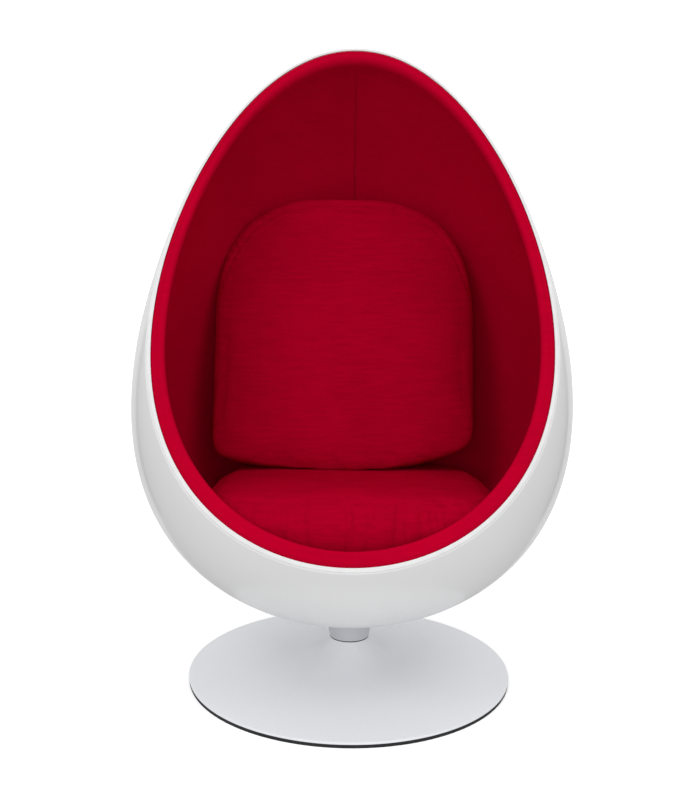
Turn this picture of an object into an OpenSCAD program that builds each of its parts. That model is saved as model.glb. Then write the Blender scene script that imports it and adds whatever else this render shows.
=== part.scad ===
// Pod chair: an egg-shaped shell with padded lining, turning on a flared disc base.
// Millimetres, +Z up. The origin is on the floor under the swivel's axis, and the opening faces -Y.

/* [Pod shell] */
// Radius of the egg at its widest
egg_r = 440; // [420:5:460]
// Length of the egg from pole to pole, before the opening is cut
egg_len = 1190; // [1160:10:1230]
// How much more slender the upper half is than the lower half
egg_taper_share = 0.576; // [0.52:0.01:0.62]
// How far the shoulders are drawn in towards both poles
egg_shoulder_share = 0.158; // [0.12:0.01:0.2]
// Height of the egg's lower pole above the floor
pod_z = 115; // [113:1:130]
// Backward lean of the pod, in degrees
pod_tilt = 7; // [5:0.5:9]
// Lean of the opening's plane away from the egg's axis, in degrees
opening_lean = 24; // [22:0.5:26]
// How far in front of the lower pole the opening's plane starts
opening_y = 442; // [432:1:452]
// Wall of the moulded shell
shell_wall = 5; // [4:0.5:7]
// How much of the pole is cut away for the flat foot under the shell
foot_cut = 3; // [2.6:0.1:4]
// Thickness of the flat pad moulded inside the shell, above the foot
foot_pad_t = 9; // [8:0.5:12]

/* [Lining and rim] */
// Thickness of the foam glued inside the shell
foam_t = 22; // [18:1:24]
// Thickness of the upholstery fabric
fabric_t = 2; // [1.5:0.1:2.5]
// Gap between a soft piece and its neighbour
soft_gap = 0.3; // [0.2:0.05:0.4]
// Height of the seat base's top above the pole
deck_z = 172; // [165:1:178]
// Thickness of the white bead between the shell's edge and the padding
bead_t = 1.8; // [1.5:0.1:2.2]
// Depth of the white bead behind the opening
bead_depth = 12; // [8:1:16]
// Width of the padded roll around the opening
roll_w = 27; // [25:0.5:29]
// How far the roll reaches into the pod
roll_depth = 36; // [32:1:40]
// How far the roll stands proud of the shell's edge
roll_crown = 3; // [2:0.5:4]
// Length of the roll's rounded nose
roll_nose = 12; // [10:1:15]

/* [Seat cushion] */
// Width of the seat cushion
seat_w = 592; // [560:4:600]
// Height of the seat cushion's sides
seat_side_h = 104; // [96:1:110]
// Rise of the seat cushion's crown over its seam
seat_crown = 24; // [18:1:28]
// Distance of the seat cushion's front behind the opening's plane
seat_setback = 42; // [41:1:50]
// Clearance between a cushion and the lining
cushion_gap = 0.7; // [0.6:0.05:0.9]

/* [Back cushion] */
// Width of the back cushion
back_w = 564; // [536:4:572]
// Height of the back cushion
back_h = 590; // [560:5:600]
// Thickness of the back cushion at its sides
back_t = 92; // [80:2:96]
// Bulge of the back cushion's front over its seam
back_crown = 16; // [10:1:20]
// Lean of the back cushion away from the egg's axis, in degrees
back_lean = 11.5; // [10:0.25:12]
// How far behind the egg's axis the back cushion's front starts
back_y = 95; // [90:1:98]
// Sideways place of the loose back cushion
back_x = -15; // [-17:1:0]
// Clearance between the back cushion and the seat cushion
back_lift = 0.6; // [0.5:0.1:0.9]
// Length of the zips
zip_len = 320; // [260:10:360]
// Width of the zips
zip_w = 18; // [14:1:22]

/* [Swivel] */
// Radius of the spindle's journal
journal_r = 12.5; // [12:0.1:13.5]
// Radial clearance of the bushes on the journal
journal_gap = 0.03; // [0.02:0.01:0.08]
// Radius of the spindle's thread
thread_r = 10; // [9.6:0.1:10.5]
// Length of the spindle's thread
thread_len = 22; // [20:1:24]
// Radius of the spindle's foot, pressed in the column
spindle_foot_r = 19; // [18:0.5:20]
// Radius of the column's tube
column_r = 25; // [24.5:0.1:25.5]
// Radius of the column's flange
column_flange_r = 66; // [62:1:72]
// Thickness of the column's flange
column_flange_t = 6; // [5:0.5:8]
// Radius of the bolt circle in the column's flange
column_pitch_r = 48; // [46:1:50]
// Radius of the column's bolts
column_bolt_r = 5; // [4:0.5:5.5]
// Wall of the bushes
bush_wall = 3.5; // [3:0.25:4]
// Length of each bush
bush_len = 20; // [16:1:24]
// Wall of the hub's tube
hub_wall = 5; // [4.5:0.25:5.5]
// Length of the hub's tube
hub_len = 70; // [66:1:76]
// Radius of the hub's tilted flange
hub_flange_r = 41; // [40.4:0.1:41.2]
// Thickness of the hub's tilted flange
hub_flange_t = 6; // [5:0.5:7]
// Radius of the balls
ball_r = 2.97; // [2.9:0.01:3.2]
// Number of balls
ball_count = 12; // [8:1:14]
// Thickness of each bearing washer
race_t = 3; // [2.5:0.25:3.5]
// Outer radius of the bearing washers
race_r = 24; // [23.6:0.1:24.4]
// Thickness of the ball cage
cage_t = 3.4; // [3:0.1:3.8]
// Running gap between flat faces that turn on each other
run_gap = 0.3; // [0.25:0.05:0.35]
// Thickness of the top washer
top_washer_t = 3; // [2.5:0.5:4]
// Width of the spindle nut across its flats
nut_flats = 30; // [28:1:32]
// Height of the spindle nut
nut_h = 16; // [14:1:18]

/* [Shell fixings] */
// Radius of the shell's bolts
anchor_bolt_r = 4; // [3.5:0.25:4.25]
// Radius of the circle that the shell's bolts stand on
anchor_pitch_r = 32; // [31.6:0.1:32.4]
// Free width of the shell's flat pad around the spreader plate
anchor_plate_edge = 9; // [7:0.5:12]
// Thickness of the spreader plate
anchor_plate_t = 5; // [4:0.5:6]
// Clearance of a bolt in its hole
bolt_gap = 0.2; // [0.15:0.05:0.3]
// Height of the free space in the seat base over the hub
recess_h = 78; // [76:1:84]

/* [Collar] */
// Radius of the collar at its lower end
collar_low_r = 40; // [39.8:0.1:40.4]
// Radius of the collar where it meets the shell
collar_top_r = 47.5; // [47:0.1:48.5]
// Wall of the collar
collar_wall = 2.2; // [1.8:0.1:2.4]
// Height of the collar's web over the hub's lower end
collar_web_z = 3; // [2:0.5:5]
// Thickness of the collar's web
collar_web_t = 4; // [3:0.5:5]

/* [Base] */
// Radius of the base disc
base_r = 327; // [310:1:340]
// Height of the black gasket's edge
gasket_h = 7; // [6:0.5:7.5]
// Thickness of the gasket under the plate
gasket_floor_t = 2; // [1.5:0.5:2.5]
// How far the gasket's edge stands back from the disc's edge
gasket_inset = 0.5; // [0.3:0.1:1]
// Wall of the gasket's edge
gasket_wall = 7.5; // [6:0.5:9]
// Thickness of the steel plate
plate_t = 6; // [5:0.5:6.5]
// Thickness of the cover's sheet
cover_t = 2; // [1.5:0.25:2.25]
// Height of the cover's outer edge above the floor
cover_edge_z = 11; // [11:0.5:13]
// Rise of the disc from its edge to its middle
cover_dome = 6; // [4:0.5:8]
// Height of the cover's neck above the floor
neck_z = 82; // [81.8:0.1:82.2]
// Radius of the cover's neck
neck_r = 39.5; // [39:0.1:40]
// Radius of the hole in the neck's lip
neck_hole_r = 28; // [27:0.5:30]
// Distance over which the trumpet flares out
flare_len = 40; // [34:1:44]
// Thickness of the black slip ring on the neck
slip_t = 2; // [1.8:0.1:2.2]

/* [Hidden] */

white_gloss = "white";
red_fabric = "crimson";
foam_colour = "khaki";
silver_paint = "silver";
plain_steel = "lightsteelblue";
dark_rubber = "dimgray";

egg_steps = 60;
egg_fn = 120;
round_fn = 64;
// A cube that covers the whole chair, and an overrun that serves every cut
span = 2 * egg_len;
over = 1;

// Heights above the floor, from the plate up to the thread's end
plate_z = gasket_floor_t;
flange_z = plate_z + plate_t;
slip_top_z = neck_z + slip_t;
ball_gap = 0.03;
ball_z = neck_z;
race_top_z = ball_z - ball_r - ball_gap;
column_top_z = race_top_z - race_t;
upper_race_z = ball_z + ball_r + ball_gap;
hub_z = upper_race_z + race_t;
hub_top_z = hub_z + hub_len;
journal_top_z = hub_top_z + run_gap;
nut_z = journal_top_z + top_washer_t;
spindle_foot_z = flange_z + column_flange_t + over;
collar_z = slip_top_z + run_gap;
web_z = hub_z + collar_web_z;

// Radii of the swivel
bush_r = journal_r + journal_gap + bush_wall;
hub_r = bush_r + hub_wall;
race_gap = 0.3;
cage_gap = 1;
ball_pitch_r = (journal_r + race_r) / 2;
pocket_gap = 0.13;
head_share = 2;
washer_share = 2;
nut_share = 1.62;

// Heights in the pod's own frame, above the pole
pad_top = foot_cut + foot_pad_t;
washer_t = 1.6;
anchor_nut_h = 6.5;
anchor_head_h = 5.3;
anchor_end = 2;
hub_flange_z = foot_cut - hub_flange_t;
washer_z = pad_top + anchor_plate_t;
anchor_nut_z = washer_z + washer_t;
deck_top = deck_z + soft_gap + fabric_t;
seat_z = deck_top + soft_gap;
seat_seam_z = seat_z + seat_side_h;

// Depths below the egg's surface
foam_out = shell_wall + soft_gap;
foam_in = foam_out + foam_t;
liner_out = foam_in + soft_gap;
liner_in = liner_out + fabric_t;
bead_in = foam_out + bead_t;
roll_gap = 0.5;
roll_out = bead_in + roll_gap;

// Bolt positions
bolt_count = 4;
bolt_turn = 45;

// The egg: radius over height, for an egg that lies a given depth inside the outer one
function egg_curve(t) = sqrt(max(0, (1 - t * t) / (1 + egg_taper_share * t + egg_shoulder_share * t * t)));
egg_peak = max([for (i = [-200 : 200]) egg_curve(i / 200)]);
function egg_radius(z, depth = 0) =
    let (half = egg_len / 2 - depth, t = (z - egg_len / 2) / half)
    abs(t) >= 1 ? 0 : (egg_r - depth) * egg_curve(t) / egg_peak;
anchor_plate_r = egg_radius(pad_top, shell_wall) - anchor_plate_edge;
recess_r = anchor_plate_r + 2 * over;
function egg_height(i, depth) = egg_len / 2 - (egg_len / 2 - depth) * cos(180 * i / egg_steps);

// The egg's side from a given height up to its upper pole
function egg_side(depth, low = 0) = concat([[egg_radius(low, depth), low]],
    [for (i = [0 : egg_steps - 1]) let (z = egg_height(i, depth)) if (z > low + over) [egg_radius(z, depth), z]],
    [[0, egg_len - depth]]);
function backwards(list) = [for (i = [len(list) - 1 : -1 : 0]) list[i]];

module in_pod() {
    translate([0, 0, pod_z]) rotate([-pod_tilt, 0, 0]) children();
}

module revolve(points) {
    rotate_extrude($fn = egg_fn) polygon(points);
}

// Everything at a given depth behind the opening's plane
module behind_opening(depth = 0) {
    translate([0, -opening_y, 0]) rotate([-opening_lean, 0, 0])
        translate([-span / 2, depth, -span / 2]) cube([span, span, 2 * span]);
}

module in_front_of(depth) {
    translate([0, -opening_y, 0]) rotate([-opening_lean, 0, 0])
        translate([-span / 2, depth - span, -span / 2]) cube([span, span, 2 * span]);
}

// A layer between two depths, from a height upwards, cut off at a depth behind the opening
module layer(outer, inner, low, depth) {
    intersection() {
        revolve(concat(egg_side(outer, low), backwards(egg_side(inner, low))));
        behind_opening(depth);
    }
}

module ring(outer, inner, z, h) {
    translate([0, 0, z]) difference() {
        cylinder(h = h, r = outer, $fn = round_fn);
        translate([0, 0, -over]) cylinder(h = h + 2 * over, r = inner, $fn = round_fn);
    }
}

module on_circle(radius, count, turn = 0) {
    for (i = [0 : count - 1]) rotate([0, 0, turn + 360 * i / count]) translate([radius, 0, 0]) children();
}

// The way through the shell and the spreader plate for the hub's upright tube
module hub_passage() {
    cylinder(h = hub_top_z, r = hub_r + bolt_gap, $fn = round_fn);
}

module anchor_holes() {
    in_pod() on_circle(anchor_pitch_r, bolt_count, bolt_turn)
        translate([0, 0, hub_flange_z - over])
        cylinder(h = washer_z - hub_flange_z + 2 * over, r = anchor_bolt_r + bolt_gap, $fn = round_fn);
}

// Triangles between rings of points, closed by a middle point at both ends
function ring_quad(a, b, c, d) = [[a, b, c], [a, c, d]];
function loft_faces(rings, n) = concat(
    [for (j = [0 : n - 1]) [0, 1 + j, 1 + (j + 1) % n]],
    [for (i = [0 : rings - 2]) for (j = [0 : n - 1]) for (f = ring_quad(
        1 + i * n + j, 1 + (i + 1) * n + j, 1 + (i + 1) * n + (j + 1) % n, 1 + i * n + (j + 1) % n)) f],
    [for (j = [0 : n - 1]) [1 + rings * n, 1 + (rings - 1) * n + (j + 1) % n, 1 + (rings - 1) * n + j]]);
// A closed tube; turned puts the diagonals the other way, to match the inside of a tube around it
function tube_faces(n, m, turned) = [for (i = [0 : n - 1]) for (j = [0 : m - 1])
    let (p = ((i + 1) % n) * m, q = (j + 1) % m)
    for (f = turned ? ring_quad(p + j, p + q, i * m + q, i * m + j)
        : ring_quad(i * m + j, p + j, p + q, i * m + q)) f];

// The padded roll: its section is carried around the edge of the opening
roll_stations = 60;
roll_nose_steps = 6;
rim_middle = egg_len / 2 / cos(opening_lean);
function in_opening(u, v, depth) = [u,
    v * sin(opening_lean) + depth * cos(opening_lean) - opening_y,
    v * cos(opening_lean) - depth * sin(opening_lean)];
function outside_egg(p, inset) = norm([p[0], p[1]]) > egg_radius(p[2], inset);
function reach(a, inset, depth, low, high, n) = n == 0 ? low :
    let (mid = (low + high) / 2)
    outside_egg(in_opening(mid * cos(a), rim_middle + mid * sin(a), depth), inset)
    ? reach(a, inset, depth, low, mid, n - 1) : reach(a, inset, depth, mid, high, n - 1);
bisections = 24;
function rim_point(a, inset, depth) =
    let (r = reach(a, inset, depth, 0, egg_len, bisections))
    in_opening(r * cos(a), rim_middle + r * sin(a), depth);
// A rounded nose between two straight sides, drawn in by a margin
function roll_section(margin) =
    let (half = roll_w / 2 - margin, mid = roll_out + roll_w / 2)
    concat([[mid - half, roll_depth]],
        [for (k = [0 : roll_nose_steps]) let (b = 180 * k / roll_nose_steps)
            [mid - half * cos(b), roll_nose - (roll_nose + roll_crown - margin) * sin(b)]],
        [[mid + half, roll_depth]]);
module roll(section, turned = false) {
    polyhedron([for (i = [0 : roll_stations - 1]) for (s = section)
        rim_point(-360 * i / roll_stations, s[0], s[1])], tube_faces(roll_stations, len(section), turned));
}

// Directions around a cushion, closer together at its corners
corner_share = 0.078;
function spaced(i, n) = let (a = 360 * i / n) a + 90 * corner_share * sin(4 * a);

// The seat cushion: rings of [spread, share of the side's height, share of the crown]
seat_steps = 44;
seat_middle_y = 45;
seat_corner_power = 12;
seat_profile_shares = [[0.55, 0, 0], [0.955, 0, 0], [0.985, 0.06, 0], [1, 0.3, 0], [1, 0.7, 0],
    [0.985, 1, 0], [0.955, 1, 0.3], [0.84, 1, 0.62], [0.62, 1, 0.87], [0.34, 1, 0.98]];
function seat_front_y(z) = z * tan(opening_lean) - opening_y + seat_setback / cos(opening_lean);
// Smallest of the distances to the lining, the sides and the front, with the corners rounded off
function seat_spread(a, z) =
    let (r = egg_radius(z, liner_in + cushion_gap),
        lining = sqrt(r * r - pow(seat_middle_y * cos(a), 2)) - seat_middle_y * sin(a),
        side = seat_w / 2 / max(abs(cos(a)), 0.001),
        front = sin(a) < 0 ? (seat_middle_y - seat_front_y(z)) / -sin(a) : span,
        p = seat_corner_power)
    pow(pow(lining, -p) + pow(side, -p) + pow(front, -p), -1 / p);
function seat_point(s, a, margin) =
    let (z = seat_z + margin + s[1] * (seat_side_h - 2 * margin) + s[2] * seat_crown,
        r = s[0] * seat_spread(a, min(z, seat_seam_z)) - margin)
    [r * cos(a), seat_middle_y + r * sin(a), z];
module seat_body(margin = 0) {
    points = [for (s = seat_profile_shares) for (j = [0 : seat_steps - 1])
        seat_point(s, spaced(j, seat_steps), margin)];
    polyhedron(concat([[0, seat_middle_y, seat_z + margin]], points,
        [[0, seat_middle_y, seat_seam_z + seat_crown - margin]]),
        loft_faces(len(seat_profile_shares), seat_steps));
}

// The back cushion, in its own frame: X across, Y back through its thickness, Z up its face
back_steps = 48;
back_middle_share = 0.51;
back_top_power = 2.65;
back_corner_power = 14;
back_bow_share = 0.08;
back_profile_shares = [[0.36, 0, -0.95], [0.64, 0, -0.8], [0.85, 0, -0.5], [0.96, 0, -0.15],
    [0.985, 0.03, 0], [1, 0.3, 0], [1, 0.7, 0], [0.985, 0.97, 0], [0.9, 1, 0], [0.5, 1, 0]];
back_middle = back_middle_share * back_h;
// An arched upper half over a boxed lower half, its bottom edge bowed
function back_outline(a) =
    let (w = back_w / 2, arched = sin(a) >= 0,
        h = arched ? back_h - back_middle : back_middle,
        p = arched ? back_top_power : back_corner_power,
        r = pow(pow(abs(cos(a)) / w, p) + pow(abs(sin(a)) / h, p), -1 / p),
        bow = arched ? 0 : back_bow_share * pow(r * cos(a) / w, 2))
    [r * cos(a), r * sin(a) * (1 - bow)];
// Where the back cushion's own frame stands in the pod
back_z = seat_seam_z + seat_crown + back_lift;
function back_in_pod(x, y, z) = [back_x + x,
    back_y + y * cos(back_lean) + z * sin(back_lean),
    back_z - y * sin(back_lean) + z * cos(back_lean)];
// Thickness at a point of the face: the lining behind may leave less than the full one
function back_room(x, z, low, high, n) = n == 0 ? low :
    let (mid = (low + high) / 2)
    outside_egg(back_in_pod(x, mid, z), liner_in + cushion_gap)
    ? back_room(x, z, low, mid, n - 1) : back_room(x, z, mid, high, n - 1);
// The lower side is turned to lie flat on the seat cushion
function back_point(s, a, margin) =
    let (edge = back_outline(a),
        spread = s[0] - margin / norm(edge),
        x = edge[0] * spread,
        z = back_middle + edge[1] * spread,
        t = back_room(x, z, 0, back_t, bisections),
        y = margin + s[1] * (t - 2 * margin) + s[2] * back_crown)
    [x, y, z + y * tan(back_lean) * max(0, -edge[1] / back_middle)];
module back_body(margin = 0) {
    points = [for (s = back_profile_shares) for (j = [0 : back_steps - 1])
        back_point(s, -spaced(j, back_steps), margin)];
    polyhedron(concat([[0, margin - back_crown, back_middle]], points, [[0, back_t - margin, back_middle]]),
        loft_faces(len(back_profile_shares), back_steps));
}
module back_place() {
    translate([back_x, back_y, back_z]) rotate([-back_lean, 0, 0]) children();
}

// Slots for the zips, through the back of the seat cushion and the underside of the back cushion
module seat_zip_slot(margin = 0) {
    translate([-zip_len / 2 + margin, seat_middle_y, seat_z + seat_side_h / 2 - zip_w / 2 + margin])
        cube([zip_len - 2 * margin, span, zip_w - 2 * margin]);
}
module back_zip_slot(margin = 0) {
    translate([-zip_len / 2 + margin, back_t / 2 - zip_w / 2 + margin, back_middle - span])
        cube([zip_len - 2 * margin, zip_w - 2 * margin, span]);
}

// The trumpet's height over its radius, and its underside square to the sheet
cover_steps = 26;
neck_rise = neck_z - cover_edge_z - cover_dome * (1 - pow(neck_r / base_r, 2));
function cover_z(r) = cover_edge_z + cover_dome * (1 - pow(r / base_r, 2))
    + neck_rise * exp(-(r - neck_r) / flare_len);
function cover_slope(r) = -2 * cover_dome * r / base_r / base_r
    - neck_rise / flare_len * exp(-(r - neck_r) / flare_len);
function under_cover(r) =
    let (slope = cover_slope(r), k = cover_t / sqrt(1 + slope * slope))
    [r + k * slope, cover_z(r) - k];
cover_radii = [for (i = [0 : cover_steps]) neck_r + (base_r - neck_r) * pow(i / cover_steps, 1.6)];

module base_cover() {
    top = [for (r = cover_radii) [r, cover_z(r)]];
    under = [for (r = cover_radii) let (p = under_cover(r))
        if (p[0] < base_r - cover_t - over && p[1] < neck_z - cover_t - over) p];
    color(silver_paint) revolve(concat([[neck_hole_r, neck_z]], top,
        [[base_r, gasket_h], [base_r - cover_t, gasket_h],
            [base_r - cover_t, cover_z(base_r - cover_t) - cover_t]],
        backwards(under), [[neck_hole_r, neck_z - cover_t]]));
}

module base_plate() {
    color(plain_steel) difference() {
        translate([0, 0, plate_z])
            cylinder(h = plate_t, r = base_r - gasket_inset - gasket_wall - soft_gap, $fn = egg_fn);
        column_bolt_set(bolt_gap);
    }
}

module floor_gasket() {
    edge = base_r - gasket_inset;
    color(dark_rubber) revolve([[0, 0], [edge, 0], [edge, gasket_h], [edge - gasket_wall, gasket_h],
        [edge - gasket_wall, gasket_floor_t], [0, gasket_floor_t]]);
}

module column() {
    tube_z = flange_z + column_flange_t;
    color(plain_steel) difference() {
        union() {
            translate([0, 0, flange_z]) cylinder(h = column_flange_t, r = column_flange_r, $fn = egg_fn);
            translate([0, 0, tube_z]) cylinder(h = column_top_z - tube_z, r = column_r, $fn = round_fn);
        }
        translate([0, 0, spindle_foot_z])
            cylinder(h = column_top_z - spindle_foot_z + over, r = spindle_foot_r, $fn = round_fn);
        column_bolt_set(0);
    }
}

// Countersunk bolts, their heads flush with the plate's underside
module column_bolt_set(margin) {
    head_h = column_bolt_r;
    on_circle(column_pitch_r, bolt_count, bolt_turn) translate([0, 0, plate_z]) {
        cylinder(h = head_h, r1 = head_share * column_bolt_r + margin, r2 = column_bolt_r + margin,
            $fn = round_fn);
        cylinder(h = plate_t + column_flange_t, r = column_bolt_r + margin, $fn = round_fn);
    }
}

module column_bolts() {
    color(plain_steel) column_bolt_set(0);
}

module spindle() {
    color(plain_steel) {
        translate([0, 0, spindle_foot_z])
            cylinder(h = column_top_z - spindle_foot_z, r = spindle_foot_r, $fn = round_fn);
        translate([0, 0, spindle_foot_z])
            cylinder(h = journal_top_z - spindle_foot_z, r = journal_r, $fn = round_fn);
        translate([0, 0, spindle_foot_z])
            cylinder(h = journal_top_z + thread_len - spindle_foot_z, r = thread_r, $fn = round_fn);
    }
}

module lower_race() {
    color(plain_steel) ring(race_r, journal_r + race_gap, column_top_z, race_t);
}

module neck_washer() {
    color(dark_rubber) ring(neck_r, neck_hole_r, neck_z, slip_t);
}

module top_washer() {
    color("white") ring(hub_r, thread_r + bolt_gap, journal_top_z, top_washer_t);
}

module spindle_nut() {
    color(plain_steel) difference() {
        translate([0, 0, nut_z]) cylinder(h = nut_h, r = nut_flats / 2 / cos(30), $fn = 6);
        translate([0, 0, nut_z - over]) cylinder(h = nut_h + 2 * over, r = thread_r, $fn = round_fn);
    }
}

module bearing_cage() {
    color("goldenrod") difference() {
        ring(race_r - race_gap, journal_r + cage_gap, ball_z - cage_t / 2, cage_t);
        on_circle(ball_pitch_r, ball_count) translate([0, 0, ball_z - cage_t])
            cylinder(h = 2 * cage_t, r = ball_r + pocket_gap, $fn = round_fn);
    }
}

module bearing_balls() {
    color(plain_steel) on_circle(ball_pitch_r, ball_count) translate([0, 0, ball_z])
        sphere(r = ball_r, $fn = round_fn);
}

module upper_race() {
    color(plain_steel) ring(race_r, journal_r + race_gap, upper_race_z, race_t);
}

module swivel_hub() {
    color(plain_steel) difference() {
        union() {
            translate([0, 0, hub_z]) cylinder(h = hub_len, r = hub_r, $fn = round_fn);
            in_pod() translate([0, 0, hub_flange_z])
                cylinder(h = hub_flange_t, r = hub_flange_r, $fn = round_fn);
        }
        translate([0, 0, hub_z - over]) cylinder(h = hub_len + 2 * over, r = bush_r, $fn = round_fn);
        anchor_holes();
    }
}

module lower_bush() {
    color("white") ring(bush_r, journal_r + journal_gap, hub_z, bush_len);
}

module upper_bush() {
    color("white") ring(bush_r, journal_r + journal_gap, hub_top_z - bush_len, bush_len);
}

// A tapered cup with a web that grips the hub, its top cut to the shell's foot
module collar() {
    top_z = pod_z + 2 * hub_flange_t;
    inner_low = collar_low_r - collar_wall;
    inner_top = collar_top_r - collar_wall;
    web_top = web_z + collar_web_t;
    function inner_at(z) = inner_low + (inner_top - inner_low) * (z - collar_z) / (top_z - collar_z);
    color(silver_paint) difference() {
        rotate_extrude($fn = round_fn) polygon([[inner_low, collar_z], [collar_low_r, collar_z],
            [collar_top_r, top_z], [inner_top, top_z], [inner_at(web_top), web_top],
            [hub_r, web_top], [hub_r, web_z], [inner_at(web_z), web_z]]);
        in_pod() translate([0, 0, foot_cut - soft_gap]) cylinder(h = span, r = egg_r);
    }
}

module shell() {
    outer = concat([[0, foot_cut]], egg_side(0, foot_cut));
    inner = concat(backwards(egg_side(shell_wall, pad_top)), [[0, pad_top]]);
    color(white_gloss) difference() {
        in_pod() intersection() {
            revolve(concat(outer, inner));
            behind_opening();
        }
        hub_passage();
        anchor_holes();
    }
}

module anchor_plate() {
    color(plain_steel) difference() {
        in_pod() translate([0, 0, pad_top]) cylinder(h = anchor_plate_t, r = anchor_plate_r, $fn = egg_fn);
        hub_passage();
        anchor_holes();
    }
}

module anchor_bolts() {
    low = hub_flange_z - anchor_head_h;
    high = anchor_nut_z + anchor_nut_h + anchor_end;
    color(plain_steel) in_pod() on_circle(anchor_pitch_r, bolt_count, bolt_turn) {
        translate([0, 0, low]) cylinder(h = anchor_head_h, r = nut_share * anchor_bolt_r / cos(30), $fn = 6);
        translate([0, 0, low]) cylinder(h = high - low, r = anchor_bolt_r, $fn = round_fn);
    }
}

module anchor_washers() {
    color(plain_steel) in_pod() on_circle(anchor_pitch_r, bolt_count, bolt_turn)
        ring(nut_share * anchor_bolt_r + bolt_gap, anchor_bolt_r + bolt_gap, washer_z, washer_t);
}

module anchor_nuts() {
    color(plain_steel) in_pod() on_circle(anchor_pitch_r, bolt_count, bolt_turn) difference() {
        translate([0, 0, anchor_nut_z])
            cylinder(h = anchor_nut_h, r = nut_share * anchor_bolt_r / cos(30), $fn = 6);
        translate([0, 0, anchor_nut_z - over])
            cylinder(h = anchor_nut_h + 2 * over, r = anchor_bolt_r, $fn = round_fn);
    }
}

module rim_bead() {
    color("white") in_pod() intersection() {
        layer(foam_out, bead_in, pad_top, 0);
        in_front_of(bead_depth);
    }
}

module foam_lining() {
    color(foam_colour) in_pod() layer(foam_out, foam_in, deck_z + soft_gap, roll_depth + soft_gap);
}

// A block of foam that fills the bowl, with a recess over the hub
module seat_base() {
    low = pad_top + soft_gap;
    side = [for (p = egg_side(foam_out, low)) if (p[1] < deck_z - over) p];
    color(foam_colour) in_pod() intersection() {
        revolve(concat([[recess_r, low]], side,
            [[egg_radius(deck_z, foam_out), deck_z], [0, deck_z], [0, recess_h], [recess_r, recess_h]]));
        behind_opening(roll_depth + soft_gap);
    }
}

module liner_half(turn) {
    color(red_fabric) in_pod() intersection() {
        layer(liner_out, liner_in, deck_top + soft_gap, roll_depth + soft_gap);
        rotate([0, 0, turn]) translate([soft_gap / 2, -span / 2, -span / 2]) cube([span, span, 2 * span]);
    }
}

module liner_left() {
    liner_half(180);
}

module liner_right() {
    liner_half(0);
}

module seat_deck() {
    low = deck_z + soft_gap;
    r = egg_radius(low, liner_out) - soft_gap;
    color(red_fabric) in_pod() intersection() {
        revolve([[0, low], [r, low], [r, low + fabric_t], [0, low + fabric_t]]);
        behind_opening(roll_depth + soft_gap);
    }
}

module rim_foam() {
    color(foam_colour) in_pod() roll(roll_section(fabric_t + soft_gap), true);
}

// Fabric around the foam's nose and sides, open at its back
module rim_band() {
    color(red_fabric) in_pod() roll(concat(roll_section(0), backwards(roll_section(fabric_t))));
}

module seat_cushion_core() {
    color(foam_colour) in_pod() seat_body(fabric_t + soft_gap);
}

module seat_cushion_cover() {
    color(red_fabric) in_pod() difference() {
        seat_body();
        seat_body(fabric_t);
        seat_zip_slot();
    }
}

module seat_cushion_zip() {
    color(dark_rubber) in_pod() intersection() {
        difference() {
            seat_body();
            seat_body(fabric_t);
        }
        seat_zip_slot(soft_gap);
    }
}

module back_cushion_core() {
    color(foam_colour) in_pod() back_place() back_body(fabric_t + soft_gap);
}

module back_cushion_cover() {
    color(red_fabric) in_pod() back_place() difference() {
        back_body();
        back_body(fabric_t);
        back_zip_slot();
    }
}

module back_cushion_zip() {
    color(dark_rubber) in_pod() back_place() intersection() {
        difference() {
            back_body();
            back_body(fabric_t);
        }
        back_zip_slot(soft_gap);
    }
}

base_cover();
base_plate();
floor_gasket();
column();
column_bolts();
spindle();
lower_race();
neck_washer();
top_washer();
spindle_nut();
bearing_cage();
bearing_balls();
upper_race();
swivel_hub();
lower_bush();
upper_bush();
collar();
shell();
anchor_plate();
anchor_bolts();
anchor_washers();
anchor_nuts();
rim_bead();
foam_lining();
seat_base();
liner_left();
liner_right();
seat_deck();
rim_foam();
rim_band();
seat_cushion_core();
seat_cushion_cover();
seat_cushion_zip();
back_cushion_core();
back_cushion_cover();
back_cushion_zip();
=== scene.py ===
"""Pod chair: an egg-shaped shell lined in red wool, on a flared disc base.

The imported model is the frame. Smooth surfaces worked out on numpy grids stand for the shell,
the lining, the rim roll, the cushions and the base cover; the swivel's inner parts stay as
they are and get their finishes.
"""
import logging
import math
from dataclasses import dataclass
from enum import Enum
from functools import cached_property

import bpy
import numpy as np
from mathutils import Matrix, Vector
from mathutils.bvhtree import BVHTree


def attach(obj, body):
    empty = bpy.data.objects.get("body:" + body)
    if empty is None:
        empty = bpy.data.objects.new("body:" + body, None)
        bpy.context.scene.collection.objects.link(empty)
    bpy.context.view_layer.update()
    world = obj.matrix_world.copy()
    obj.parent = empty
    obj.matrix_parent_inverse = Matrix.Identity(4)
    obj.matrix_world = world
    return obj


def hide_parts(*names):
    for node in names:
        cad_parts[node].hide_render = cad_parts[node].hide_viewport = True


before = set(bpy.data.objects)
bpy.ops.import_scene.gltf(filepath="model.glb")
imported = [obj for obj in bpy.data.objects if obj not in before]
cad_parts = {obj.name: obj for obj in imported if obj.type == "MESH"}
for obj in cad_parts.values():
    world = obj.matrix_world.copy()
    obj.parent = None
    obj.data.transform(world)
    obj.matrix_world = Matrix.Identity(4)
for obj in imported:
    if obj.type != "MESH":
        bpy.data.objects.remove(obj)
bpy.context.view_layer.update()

LOG = logging.getLogger("pod_chair")
MM = 0.001
FAR = 9.0  # metres, beyond anything in the pod
LEAST_ARC = 0.01  # radians of the egg's own angle that every column of a skin keeps

Piece = bpy.types.Object
Finish = bpy.types.Material
Socket = bpy.types.NodeSocket


class Body(Enum):
    """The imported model's moving bodies."""

    BASE = "base"
    CAGE = "ball_cage"
    POD = "pod"


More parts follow.
